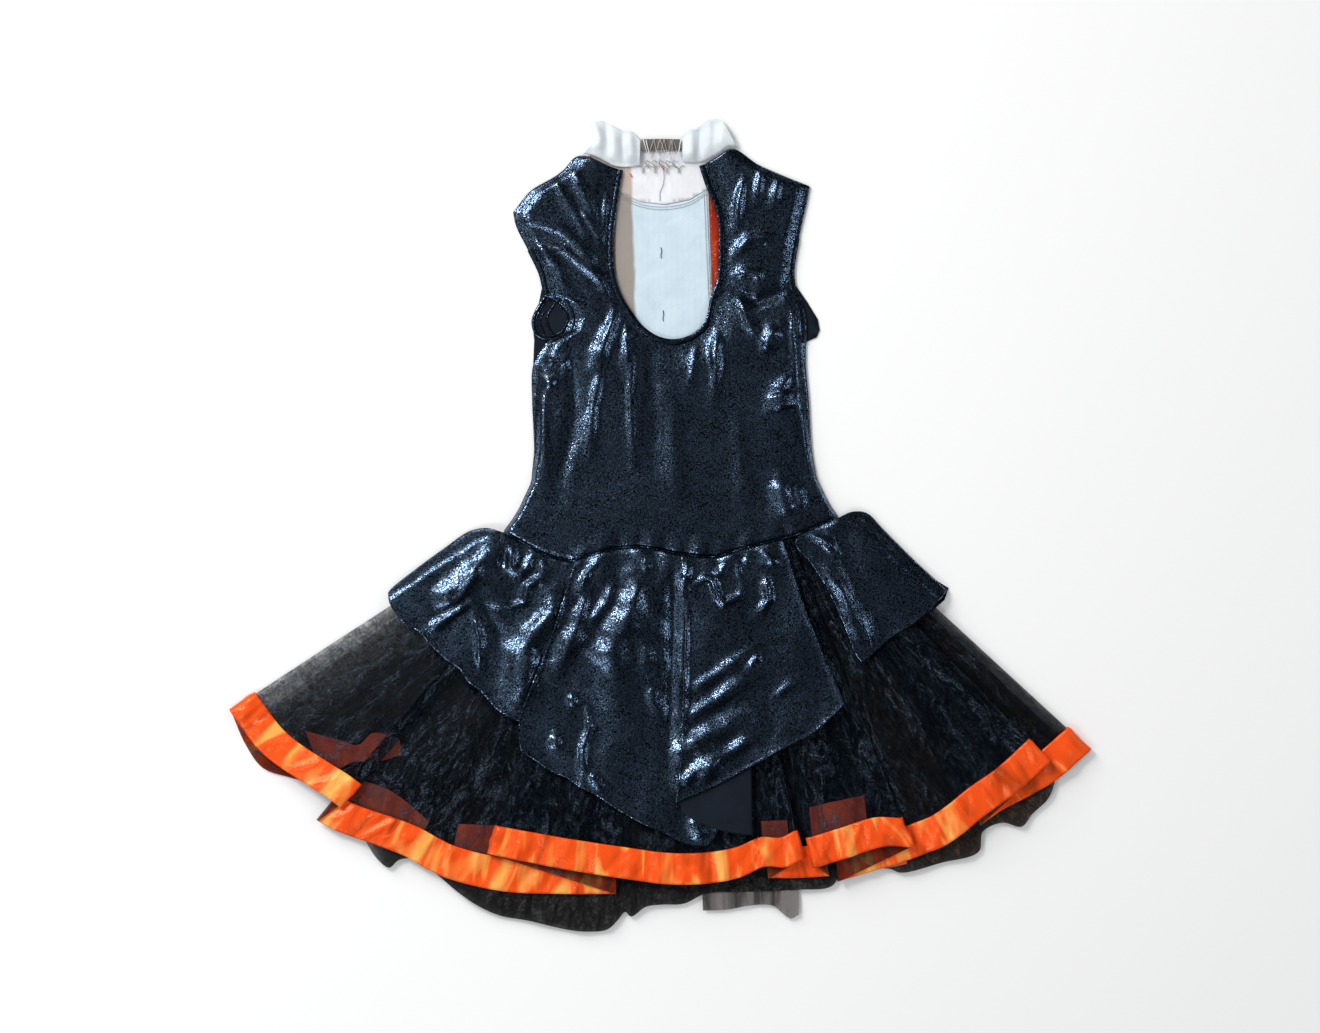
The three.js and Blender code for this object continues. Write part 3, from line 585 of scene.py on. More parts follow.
WAIST_SEAM = [
    (-157, -5), (-141, -14), (-116, -27), (-86, -34), (-56, -24), (-21, -20),
    (19, -27), (54, -30), (84, -21), (114, -14), (139, -7), (177, 9),
]
SIDE_LEFT = [
    (-157, -5), (-144, 14), (-130, 44), (-127, 76), (-129, 126), (-128, 161), (-116, 183),
]
SIDE_RIGHT = [
    (177, 9), (168, 23), (156, 48), (151, 76), (148, 126), (145, 161), (145, 183),
]
ARMHOLE_LEFT = [
    (-116, 183), (-95, 196), (-91, 208), (-99, 223), (-115, 231),
    (-122, 253), (-133, 276), (-145, 300), (-148, 314),
]
ARMHOLE_RIGHT = [
    (145, 183), (145, 206), (140, 226), (134, 241), (133, 256), (138, 288), (145, 319), (149, 340),
]
SHOULDER_LEFT = [
    (-148, 314), (-131, 335), (-106, 350), (-97, 357), (-86, 369), (-75, 370.5), (-55, 362), (-43, 357),
]
SHOULDER_RIGHT = [
    (43, 362), (57, 370), (68, 377), (75, 377), (97, 362), (124, 350), (149, 340),
]
KEYHOLE_BOTTOM = (15, 182)
KEYHOLE_LEFT = [
    KEYHOLE_BOTTOM, (-4, 185), (-21, 196), (-33, 211), (-44, 229), (-51, 251),
    (-53, 274), (-52, 298), (-49, 321), (-43, 357),
]
KEYHOLE_RIGHT = [
    KEYHOLE_BOTTOM, (34, 188), (48, 202), (54, 225), (61, 247),
    (63, 274), (62, 306), (57, 326), (50, 341), (43, 362),
]
COLLAR_SEAM = [(-78, 371), (-49, 338), (-21, 325), (4, 322), (29, 327), (51, 340), (75, 376)]


def clip(line, start, end, shift):
    inside = [(x, y + shift) for x, y in line if start < x < end]
    first = (start, float(across(line, start)) + shift)
    last = (end, float(across(line, end)) + shift)
    return [first, *inside, last]


# ----- the front, which lies underneath

BIB_LEFT, BIB_RIGHT, BIB_TOP_RIGHT = -46.5, 61, 47.5
LAPEL_LEFT_WIDTH, LAPEL_RIGHT_END = 22, 72.3
SEAM_GAP = 0.3
# How far the front's panels reach past the waist seam, and stop short of the collar's.
FRONT_HEM = -1.3
FRONT_TOP = -0.8


def make_front():
    """The front's panels, seen through the keyhole and at the armholes."""

    def strip(waist, collar):
        return clip(WAIST_SEAM, *waist, FRONT_HEM) + clip(COLLAR_SEAM, *collar, FRONT_TOP)[::-1]

    def lying(x, y):
        return PLATE_Z + 0.12 * waves(x, y, 60, 4)

    def bib_height(x, y):
        return PLATE_Z + 0.3 + 0.3 * waves(x, y, 45, 7) * smooth((y - 150) / 60)

    left_end, right_end = BIB_LEFT - LAPEL_LEFT_WIDTH - SEAM_GAP, LAPEL_RIGHT_END
    panel("front_left", [
        *clip(WAIST_SEAM, -157, left_end, FRONT_HEM),
        (left_end, float(across(COLLAR_SEAM, left_end)) + FRONT_TOP),
        (-79, 369), *SHOULDER_LEFT[4::-1], *ARMHOLE_LEFT[7:4:-1],
        (-119, 240), (-123, 220), (-129, 205), (-127, 186), *SIDE_LEFT[5:0:-1],
    ], 9, lying, MATTE)
    panel("front_right", [
        *clip(WAIST_SEAM, right_end, 177, FRONT_HEM), *SIDE_RIGHT[1:6],
        (144, 174), (145, 184), (156, 189), (159, 196), (157, 207), (146, 225), (135, 241),
        *ARMHOLE_RIGHT[4:7], (149, 340), (124, 350), (97, 362), (77, 374),
        (right_end, float(across(COLLAR_SEAM, right_end)) + FRONT_TOP),
    ], 9, lying, MATTE)
    panel("front_bib", strip((BIB_LEFT, BIB_RIGHT), (BIB_LEFT, BIB_TOP_RIGHT)), 5, bib_height, BIB)
    left = (BIB_LEFT - LAPEL_LEFT_WIDTH, BIB_LEFT - SEAM_GAP)
    panel("lapel_left", strip(left, left), 6, lying, LAPEL)
    outer = right_end - SEAM_GAP
    right = strip((BIB_RIGHT + SEAM_GAP, outer), (BIB_TOP_RIGHT + SEAM_GAP, outer))
    panel("lapel_right", right, 6, lying, LAPEL)
    panel("collar_front", [
        (-72, 370), *COLLAR_SEAM[1:-1], (71, 376), (60, 402), (36, 380), (0, 374), (-36, 380),
        (-62, 398), (-66, 384),
    ], 5, bib_height, INNER)
    for side, ends in (("left", (-150, -3)), ("right", (0, 176))):
        low = {
            "left": [(-235, -120), (-140, -215), (-30, -285), (-8, -150)],
            "right": [(10, -262), (110, -225), (200, -150), (284, -74), (288, -62)],
        }[side]
        panel(f"petal_front_{side}", low + clip(WAIST_SEAM, *ends, -WAIST_DROP)[::-1], 12,
              lying, FOIL)


# ----- the bodice back

EDGE_Z = 2.1
BACK_RISE = [(-40, 9.4), (0, 8.4), (60, 6.6), (120, 5.8), (190, 5), (250, 3.4), (380, 3)]
BACK_SIDE_LEFT = SIDE_LEFT + ARMHOLE_LEFT[1:] + SHOULDER_LEFT[1:6]
BACK_SIDE_RIGHT = SIDE_RIGHT + ARMHOLE_RIGHT[1:] + [(124, 350), (97, 362), (75, 377)]

# Folds of the back: height, width, line.
BACK_CREASES = [
    (2.0, 4.5, [(-88, 357), (-76, 330), (-62, 301)]),
    (1.8, 4, [(-81, 318), (-68, 300), (-56, 280)]),
    (2.0, 3.5, [(-54, 330), (-56, 282)]),
    (1.6, 4, [(-108, 348), (-92, 322), (-74, 292)]),
    (2.3, 5, [(-142, 309), (-125, 303), (-100, 297), (-71, 268), (-59, 239)]),
    (2.2, 5, [(-117, 280), (-96, 276), (-59, 247), (-46, 222)]),
    (1.8, 4.5, [(-125, 282), (-104, 261), (-94, 236)]),
    (3.6, 6, [(-44, 218), (-50, 201), (-60, 175), (-67, 159)]),
    (2.0, 3.5, [(-34, 201), (-34, 159)]),
    (1.3, 3.5, [(-27, 184), (-31, 134), (-27, 59)]),
    (2.4, 5, [(-60, 158), (-68, 118), (-72, 72)]),
    (2.4, 4, [(-117, 168), (-109, 164), (-96, 164), (-94, 154)]),
    (2.6, 5, [(-115, 146), (-107, 140)]),
    (-1.5, 6, [(-90, 176), (-86, 109), (-100, 51), (-105, 26)]),
    (1.4, 5, [(-119, 126), (-117, 50)]),
    (2.0, 3.5, [(100, 357), (96, 326)]),
    (2.8, 4.5, [(83, 347), (78, 326), (75, 300)]),
    (2.2, 4, [(118, 346), (112, 322)]),
    (2.8, 5, [(73, 272), (87, 286), (104, 289), (114, 282)]),
    (3.0, 5, [(75, 251), (86, 254), (96, 253), (100, 243)]),
    (-3.0, 5, [(75, 234), (96, 224), (121, 234), (129, 247)]),
    (2.4, 4.5, [(79, 226), (89, 201), (100, 189)]),
    (4.0, 6.5, [(104, 176), (112, 193), (119, 199)]),
    (2.0, 3.5, [(131, 230), (133, 197), (137, 159), (139, 126)]),
    (2.8, 4.5, [(56, 193), (55, 170), (56, 151)]),
    (1.1, 4, [(49, 186), (55, 158), (52, 120)]),
    (1.0, 4, [(35, 180), (29, 139)]),
    (4.6, 13, [(119, 136), (125, 114)]),
    (2.2, 4, [(129, 151), (116, 134)]),
    (4.2, 10, [(118, 48), (123, 26), (132, 8)]),
    (2.2, 5, [(136, 43), (142, 16)]),
    (-1.0, 9, [(-10, 175), (-6, 46)]),
    (0.8, 8, [(12, 120), (14, 20)]),
    (0.8, 8, [(76, 110), (84, 10)]),
]


def back_height(x, y):
    inward = np.minimum(x - upward(BACK_SIDE_LEFT, y), upward(BACK_SIDE_RIGHT, y) - x)
    above_seam = y - across(WAIST_SEAM, x)
    keyhole = np.minimum(along_line(x, y, KEYHOLE_LEFT)[0], along_line(x, y, KEYHOLE_RIGHT)[0])
    side_fall = smooth(inward / mix(5, 16, smooth((above_seam - 50) / 150)))
    keyhole_fall = mix(0.45, 1, smooth(keyhole / 28))
    fold = creases(BACK_CREASES, x, y) * smooth(above_seam / 22) * smooth(inward / 14)
    uneven = 0.45 * waves(x, y, 52, 11) * smooth(above_seam / 40) * smooth(inward / 20)
    gather = 1.3 * waves(x, 0.3 * y, 22, 5) * smooth(1 - above_seam / 24) * smooth(inward / 12)
    gather -= 1.4 * smooth(1 - above_seam / 3)
    dome = across(BACK_RISE, y) * side_fall * keyhole_fall
    return np.maximum(1.7, EDGE_Z + dome + (fold + uneven) * smooth(keyhole / 10) + gather)


def make_back():
    middle = [(-116, 183), KEYHOLE_BOTTOM, (145, 183)]
    half, strap_rows, body_rows = 80, 96, 112
    nets = [
        patch_plan(between(top, bottom, left[-2:0:-1], right[-2:0:-1]), columns, rows)
        for top, bottom, left, right, columns, rows in (
            (middle, WAIST_SEAM, SIDE_LEFT, SIDE_RIGHT, 2 * half, body_rows),
            (SHOULDER_LEFT, middle[:2], ARMHOLE_LEFT, KEYHOLE_LEFT, half, strap_rows),
            (SHOULDER_RIGHT, middle[1:], KEYHOLE_RIGHT, ARMHOLE_RIGHT, half, strap_rows),
        )
    ]
    wide = half + 1
    strap = strap_rows * wide
    flat = np.vstack([nets[0].reshape(-1, 2), nets[1].reshape(-1, 2)[:strap],
                      nets[2].reshape(-1, 2)[:strap]])
    body = len(nets[0].reshape(-1, 2))
    faces = [grid_faces(body_rows + 1, 2 * half + 1)]
    for first, shared in ((body, 0), (body + strap, half)):
        own = grid_faces(strap_rows + 1, wide)
        faces.append(np.where(own < strap, own + first, own - strap + shared))
    z = back_height(flat[:, 0], flat[:, 1])
    points = np.column_stack([flat, z])
    seam = trace(WAIST_SEAM, np.linspace(0.004, 0.996, 160))
    lifted = back_height(seam[:, 0], seam[:, 1] + 2) + 0.6 * waves(seam[:, 0], 0 * seam[:, 0], 13, 9)
    tape = [(x, y - 0.9, z) for (x, y), z in zip(seam, lifted)]
    thread("waist_seam", tape, 1.5, FOIL_TRIM)
    sheet("bodice_back", points, np.vstack(faces), FOIL, flat)


def edge_band(name, line, width, lift, inside, steps):
    """A folded band that lies on the back along one of its edges; inside is 1 or -1, the side it lies to."""
    path = trace(line, np.linspace(0, 1, steps))
    ahead = np.gradient(path, axis=0)
    out = np.column_stack([ahead[:, 1], -ahead[:, 0]]) * inside
    out /= np.linalg.norm(out, axis=1)[:, None]
    # Points of the band's cross-section: how far in from the edge, and how high.
    profile = [(-0.6, -1.6), (-0.9, -0.6), (-0.5, 0.4), (0.4, 0.75), (0.5 * width, 0.9),
               (width - 1.0, 0.7), (width, 0.1)]
    rows = []
    for across_band, up in profile:
        xy = path + out * across_band
        inner = path + out * max(across_band, 0.5)
        z = back_height(inner[:, 0], inner[:, 1]) + lift + up
        rows.append(np.column_stack([xy, z]))
    points = np.vstack(rows)
    sheet(name, points, grid_faces(len(profile), steps), FOIL_TRIM, points[:, :2])


def make_trims():
    keyhole = KEYHOLE_LEFT[:0:-1] + KEYHOLE_RIGHT
    edge_band("keyhole_binding", keyhole, 5.2, 0.9, -1, 200)
    edge_band("armhole_hem_left", ARMHOLE_LEFT[:7], 5, 0.8, 1, 80)
    rim = [(-115, 232), (-99, 223), (-90, 208), (-97, 192), (-113, 186), (-125, 191), (-129, 205),
           (-123, 220), (-115, 232)]
    middle_x, middle_y = -110, 208
    for index, (shrink, radius) in enumerate(((0.96, 1.6), (0.80, 0.5))):
        ring = [(mix(middle_x, x, shrink), mix(middle_y, y, shrink)) for x, y in rim]
        laid_thread(f"armhole_rim_{index}", ring, 2.2, 60, radius, FOIL)
    for index, (fold, radius) in enumerate((
        ([(-107, 222), (-114, 210), (-113, 200), (-107, 190)], 1.1),
        ([(-116, 216), (-121, 206), (-117, 193)], 0.7),
    )):
        laid_thread(f"armhole_inner_fold_{index}", fold, 1.7, 30, radius, FOIL_TRIM)
    edge_band("armhole_hem_right", ARMHOLE_RIGHT[:6], 5, 0.8, -1, 80)


# ----- the back collar

# Rows of stitches on the bib: under the collar, and beside the right lapel.
COLLAR_STITCH = [(-53, 338), (-21, 322.5), (4, 319.5), (29, 324.5), (52, 340)]
COVERSTITCH = [(45.5, 332), (46.5, 311), (48, 276), (49.5, 246), (51, 206)]
# Folds of the collar: height, width, line.
COLLAR_CREASES = [
    (4.0, 4, [(-66, 404), (-62, 388), (-64, 374)]),
    (-2.6, 3.5, [(-56, 404), (-53, 384), (-55, 366)]),
    (2.8, 4, [(-48, 396), (-47, 362)]),
    (-2.4, 2.5, [(-39, 394), (-37, 362)]),
    (3.2, 4, [(-31, 394), (-29, 362)]),
    (3.4, 4, [(30, 396), (31, 364)]),
    (-2.4, 3, [(39, 400), (38, 366)]),
    (2.6, 5, [(49, 404), (46, 370)]),
    (2.8, 6, [(64, 402), (58, 376)]),
]


def collar_height(x, y):
    left = x < 0
    low = np.where(left, across([(-78, 372), (-55, 364), (-21, 361)], x),
                   across([(22, 364), (45, 366), (76, 380)], x))
    high = np.where(left, across([(-70, 402), (-45, 399), (-20, 386)], x),
                    across([(23, 392), (45, 404), (61, 406), (76, 395)], x))
    v = np.clip((y - low) / (high - low), 0, 1)
    curl = 4.5 * np.sin(np.pi * np.minimum(1, 1.15 * v) ** 0.8)
    return 3.9 + np.maximum(0, curl) + creases(COLLAR_CREASES, x, y)


def make_collar():
    patch("collar_back_left", between(
        [(-70, 402), (-61, 406), (-45, 399), (-37, 395), (-30, 395), (-20.5, 386)],
        [(-78, 372.5), (-67, 370.5), (-55, 364.5), (-46, 360.5), (-34, 359.5), (-21, 361)],
        left=[(-69, 394), (-70, 384)],
    ), 1.6, collar_height, WHITE)
    patch("collar_back_right", between(
        [(23, 392), (27, 396), (34, 397), (43, 403), (54, 407.5), (61, 406)],
        [(22, 364), (36, 364), (43, 365.5), (57, 373), (68, 380.5), (76, 379.5)],
        left=[(21.5, 378)],
        right=[(66, 399), (71, 389)],
    ), 1.6, collar_height, WHITE)
    elastic = between([(-19.5, 387), (1, 387.5), (20.5, 387)], [(-19.5, 375), (1, 376), (20.5, 376)])
    patch("neck_elastic", elastic, 1.2, lambda x, y: 5 + 0.5 * np.cos(x / 2.2), ELASTIC)
    forth = [(-18, 388), (-13, 370), (-7, 388), (-3, 362), (3, 387), (9, 360), (12, 388), (17, 371),
             (20, 387)]
    thread("lacing_zigzag", [(x, y, 6.9) for x, y in forth], 0.62, CLEAR, False)
    back = [(-15, 386), (-9, 361), (-1, 387), (6, 368), (10, 386), (15, 360), (19, 380)]
    thread("lacing_return", [(x, y, 8.1) for x, y in back], 0.5, CLEAR, False)
    for row, (y, turns, reach) in enumerate(((357, 4, 24), (362, 5, 17))):
        loops = [
            (mix(-reach, reach, t) + 3.2 * math.sin(2 * math.pi * turns * t),
             y + 3.6 * math.cos(2 * math.pi * turns * t + row), 3.2 + 0.9 * row)
            for t in np.linspace(0, 1, 91)
        ]
        thread(f"clear_loops_{row}", loops, 0.42, SEAM_THREAD)
    loose = [(2, 357, 3.6), (3, 350, 2.6), (2, 342, 2.0), (-1, 334, 1.8), (-1, 325.5, 1.8)]
    falling = [(y, z) for _, y, z in loose]
    route = [(x, y, across(falling, y)) for x, y in trace([p[:2] for p in loose], np.linspace(0, 1, 16))]
    end = thread("hanging_thread", route, 0.3, SEAM_THREAD)
    for index, (x, y) in enumerate(((2, 358), (-30, 351))):
        spot = [(x - 1, y + 2, 2.0), (x, y, 2.4), (x + 1, y - 2, 2.0)]
        thread(f"orange_stitch_{index}", spot, 0.6, ORANGE)
    for index in (0, 1):
        line = [(x, y - 2.6 * index) for x, y in COLLAR_STITCH]
        laid_thread(f"collar_stitch_{index}", line, 1.7, 50, 0.22, SEAM_THREAD)
    for index, (x, y) in enumerate(((0, 273), (2, 210))):
        tack = [(x, y + 6, 1.6), (x + 1, y + 2, 2.2), (x - 0.5, y - 2, 2.0), (x + 0.6, y - 5, 1.6)]
        thread(f"thread_tack_{index}", tack, 0.35, BLACK_THREAD)
    for index in (0, 1):
        line = [(x - 2.4 * index, y) for x, y in COVERSTITCH]
        laid_thread(f"coverstitch_{index}", line, 1.7, 60, 0.22, SEAM_THREAD)


# ----- the skirt

# Runs of cloth from fold to fold, once round the skirt: the back from left to
# right with its pleats, then the front from right to left. Each is the waist's
# x at its start and end, how many steps it takes, its level in the pleats (for
# the whole run or point by point; -1 is the front), and its hem: x, y.
SKIRT_RUNS = [
    ((-155, -105), 60, [0, 0.4, 1.2, 2, 2], [
        (-430, -187), (-399, -227), (-355, -258), (-334, -271), (-322, -280),
    ]),
    ((-105, -121), 8, 1, [(-322, -280), (-343, -295)]),
    ((-121, -21), 130, [0, 0.2, 0.45, 0, 0, 0, 0], [
        (-343, -295), (-327, -304), (-261, -328), (-220, -350), (-161, -365), (-101, -368),
        (-46, -368),
    ]),
    ((-21, -76), 40, 1, [(-46, -368), (-171, -328)]),
    ((-76, 74), 140, 2, [
        (-171, -328), (-101, -342), (-32, -353), (9, -358), (47, -357), (79, -351), (104, -340),
        (124, -341), (139, -334),
    ]),
    ((74, 59), 14, 1, [(139, -334), (109, -352)]),
    ((59, 96), 26, 0, [(109, -352), (140, -352), (168, -350)]),
    ((96, 84), 6, 1, [(168, -350), (156, -341)]),
    ((84, 129), 44, 2, [(156, -341), (188, -331), (224, -320), (250, -321)]),
    ((129, 114), 24, 1, [(250, -321), (179, -355)]),
    ((114, 159), 110, [0, 0, 0.1, 1, 2, 2, 2, 2], [
        (179, -355), (245, -335), (266, -327), (285, -319), (303, -306), (321, -291), (357, -265),
        (386, -238),
    ]),
    ((159, 147), 26, 1, [(386, -238), (320, -299)]),
    ((147, 175), 56, 0, [(320, -299), (340, -285), (372, -268), (397, -253), (428, -226)]),
    ((175, -155), 240, -1, [
        (428, -226), (384, -239), (339, -269), (289, -304), (244, -334), (204, -312), (169, -304),
        (129, -312), (79, -342), (39, -348), (-61, -344), (-161, -334), (-189, -328), (-241, -308),
        (-286, -280), (-321, -264), (-371, -252), (-399, -242), (-416, -219), (-430, -187),
    ]),
]
PETTICOAT_RUNS = [
    ((-149, 169), 420, 0, [
        (-398, -188), (-371, -236), (-331, -264), (-299, -310), (-285, -332), (-272, -342),
        (-262, -334), (-243, -334), (-225, -348), (-205, -365), (-185, -379), (-161, -390),
        (-133, -395), (-94, -404), (-74, -406), (-54, -404), (-43, -394), (-36, -386), (-30, -391),
        (-15, -381), (0, -379), (23, -378), (45, -368), (90, -366), (137, -364), (170, -361),
        (182, -347), (228, -343), (240, -347), (281, -337), (318, -326), (322, -306), (342, -297),
        (361, -301), (371, -289), (388, -272), (395, -252), (402, -215),
    ]),
    ((169, -149), 120, -1, [
        (402, -215), (340, -245), (240, -285), (139, -290), (-61, -315), (-211, -290), (-320, -240),
        (-398, -188),
    ]),
]
FOLD_STEPS = 7
# The skirt's length, and where the ribbon's top edge is from the waist (0) to the hem (1).
SKIRT_DROP = 370
RIBBON_TOP = 0.905
RIBBON_ROWS = 14

# Folds of the skirt's upper cloth: height, width, line.
SKIRT_CREASES = [
    (2.4, 4, [(-209, -312), (-214, -356)]),
    (-1.0, 8, [(-225, -312), (-232, -346)]),
    (1.8, 5, [(-408, -168), (-424, -204)]),
    (1.6, 5, [(-300, -196), (-274, -136), (-256, -112)]),
    (2.0, 6, [(-209, -300), (-188, -235), (-158, -192)]),
    (1.6, 6, [(-262, -290), (-222, -200), (-200, -160)]),
    (1.6, 5, [(-340, -214), (-300, -150)]),
    (1.8, 6, [(-120, -320), (-108, -250)]),
    (1.6, 6, [(-66, -330), (-60, -282)]),
    (1.8, 5, [(228, -250), (200, -180)]),
    (1.6, 6, [(262, -270), (226, -170)]),
    (1.8, 5, [(318, -240), (262, -120)]),
    (1.6, 6, [(352, -222), (292, -112)]),
    (1.8, 5, [(190, -270), (176, -215)]),
]

# Where the ribbon on the skirt's other side shows through the organza: its height, top and bottom edge.
INNER_RIBBON = [
    (6.5, [(-356, -205), (-322, -214), (-303, -219), (-288, -207), (-262, -212)],
     [(-345, -232), (-322, -242), (-308, -236), (-284, -236), (-259, -228)]),
    (6.5, [(-315, -253), (-281, -260), (-260, -272), (-232, -296)],
     [(-318, -282), (-285, -294), (-262, -302), (-240, -310)]),
    (6.5, [(-203, -298), (-160, -300)], [(-210, -334), (-166, -336)]),
    (13.4, [(100, -295), (126, -294)], [(102, -318), (128, -316)]),
    (13.4, [(148, -281), (170, -276), (203, -269)], [(151, -312), (172, -306), (206, -297)]),
    (6.5, [(209, -320), (228, -324), (246, -322)], [(205, -340), (226, -342), (246, -338)]),
]


def pleat_step(v):
    return mix(PLEAT_STEP_AT_WAIST, PLEAT_STEP_AT_HEM, smooth((v - 0.45) / 0.4))


def organza_height(level, v):
    above = BACK_ORGANZA_Z + level * pleat_step(v)
    below = mix(BACK_ORGANZA_Z, FRONT_ORGANZA_Z, -level)
    return np.where(level < 0, below, above)


def petticoat_height(level, v):
    return mix(BACK_PETTICOAT_Z, FRONT_PETTICOAT_Z, -level) + 0 * v


def tube_points(runs, stations, height):
    """One closed line of points for each distance from the waist (0) to the hem (1)."""
    v = np.array(stations)[:, None]
    pieces = []
    for waist, steps, levels, hem in runs:
        u = np.linspace(0, 1, steps + 1)
        low = trace(hem, u)
        knots = run_along(hem)
        level = np.interp(u, knots / knots[-1], np.broadcast_to(levels, len(hem)))
        waist_x = mix(waist[0], waist[1], u)
        waist_y = across(WAIST_SEAM, waist_x) - WAIST_DROP
        x = mix(waist_x, low[:, 0], v)
        y = mix(waist_y, low[:, 1], v)
        z = height(level + 0 * v, v + 0 * x)
        pieces.append(np.dstack([x, y, z]))
    rows = []
    for index, run in enumerate(pieces):
        after = pieces[(index + 1) % len(pieces)]
        end = run[:, -1]
        down = end[-1, :2] - end[0, :2]
        down /= np.linalg.norm(down)
        away = (end - run[:, -2])[:, :2]
        away -= np.outer(away @ down, down)
        away /= np.linalg.norm(away, axis=1)[:, None]
        radius = (end[:, 2] - after[:, 0, 2]) / 2
        rows.append(run)
        for turn in np.linspace(0, math.pi, FOLD_STEPS + 2)[1:-1]:
            point = end.copy()
            point[:, :2] += away * (np.abs(radius) * math.sin(turn))[:, None]
            point[:, 2] += radius * (math.cos(turn) - 1)
            rows.append(point[:, None])
    return np.concatenate(rows, axis=1)


def normals_of(net):
    """Outward directions of a closed net of points."""
    around = np.roll(net, -1, axis=1) - np.roll(net, 1, axis=1)
    down = np.gradient(net, axis=0)
    out = np.cross(down, around)
    return out / np.maximum(np.linalg.norm(out, axis=2)[..., None], 1e-9)


def cloth_places(net):
    """Where each point of a tube is on the cut cloth: along its hem, and down."""
    hem = run_along(net[-1])
    drop = np.cumsum(np.linalg.norm(np.diff(net, axis=0, prepend=net[:1]), axis=2), axis=0)
    return np.dstack([np.broadcast_to(hem, drop.shape), drop]).reshape(-1, 2)


def make_skirt():
    stations = np.concatenate(
        [np.linspace(0, RIBBON_TOP, 70)[:-1], np.linspace(RIBBON_TOP, 1, RIBBON_ROWS)]
    )
    net = tube_points(SKIRT_RUNS, stations, organza_height)
    out = normals_of(net)
    rows, columns = net.shape[:2]
    v = stations[:, None]
    hem = run_along(net[-1])[None, :]
    upper = smooth((net[..., 2] - 4) / 2)
    top = smooth((net[..., 2] - BACK_ORGANZA_Z - 1.3 * pleat_step(v)) / 1.5)
    room = mix(0.45, 1.0, top) * smooth(v * 1.5)
    sway = hem + 9 * np.sin(hem / 37 + 2 * v)
    ripple = room * (0.8 * np.sin(sway / 4.1) + 0.9 * np.sin(sway / 6.7 + 1) ** 3 - 0.35)
    ripple = ripple + creases(SKIRT_CREASES, net[..., 0], net[..., 1])
    cloth = net + out * (ripple * upper)[..., None]
    faces = grid_faces(rows, columns, True)
    sheet("organza_skirt", cloth.reshape(-1, 3), faces, ORGANZA, cloth_places(cloth))

    band = rows - RIBBON_ROWS
    ribbon = cloth[band:] + out[band:] * RIBBON_OFFSET
    slant = hem - 0.7 * (1 - v[band:]) * SKIRT_DROP
    where = np.broadcast_to(hem, ribbon.shape[:2])
    tight = smooth(0.5 + 0.9 * waves(where, 0 * where, 60, 13))
    dimple = 1.1 * waves(slant, 0.3 * hem, 15, 12) + 1.2 * tight * waves(slant, 0.2 * hem, 9, 14)
    dimple = 1.2 + np.maximum(dimple, -1.2)
    pucker = dimple * np.sin(np.pi * np.linspace(0.14, 0.9, RIBBON_ROWS))[:, None] ** 0.7
    ribbon = ribbon + out[band:] * (pucker * upper[band:])[..., None]
    ribbon[..., 2] = np.maximum(ribbon[..., 2], 0.3)
    seen_through = [
        patch(f"inner_ribbon_{index}", between(top, bottom), 3,
              lambda x, y, z=z: z + 0.25 * waves(x, y, 14, 2), UNDER, make=mesh_piece, slot="orange_satin")
        for index, (z, top, bottom) in enumerate(INNER_RIBBON)
    ]
    sheet("hem_ribbon", ribbon.reshape(-1, 3), grid_faces(RIBBON_ROWS, columns, True), ORANGE,
          cloth_places(ribbon), own=seen_through)

    stations = np.linspace(0, 1, 40)
    net = tube_points(PETTICOAT_RUNS, stations, petticoat_height)
    out = normals_of(net)
    count = np.arange(net.shape[1])[None, :]
    v = stations[:, None]
    sway = 0.5 * np.sin(count * 0.3 + 2 * np.sin(count * 0.07)) * smooth((v - 0.5) / 0.4)
    past_hem = smooth((v - 0.95) / 0.05)
    cloth = net + out * (sway * mix(0.5, 1.6, past_hem))[..., None]
    cloth[..., 2] = np.maximum(cloth[..., 2], 2.6)
    sheet("petticoat", cloth.reshape(-1, 3), grid_faces(*net.shape[:2], True), TULLE, cloth_places(cloth))
    patch("white_net", between(
        [(36, -230), (100, -230)],
        [(42, -385), (67, -384), (88, -380), (112, -380), (121, -387), (130, -393), (138, -389)],
        right=[(137, -365)],
    ), 3, lambda x, y: NET_Z + 0.5 * waves(x, 0.1 * y, 12, 17), NET)


# ----- handkerchief petals

# Where the skirt's two straight sides start, at the waist.
SKIRT_CORNER_LEFT = (-155, -7)
SKIRT_CORNER_RIGHT = (177, 7)

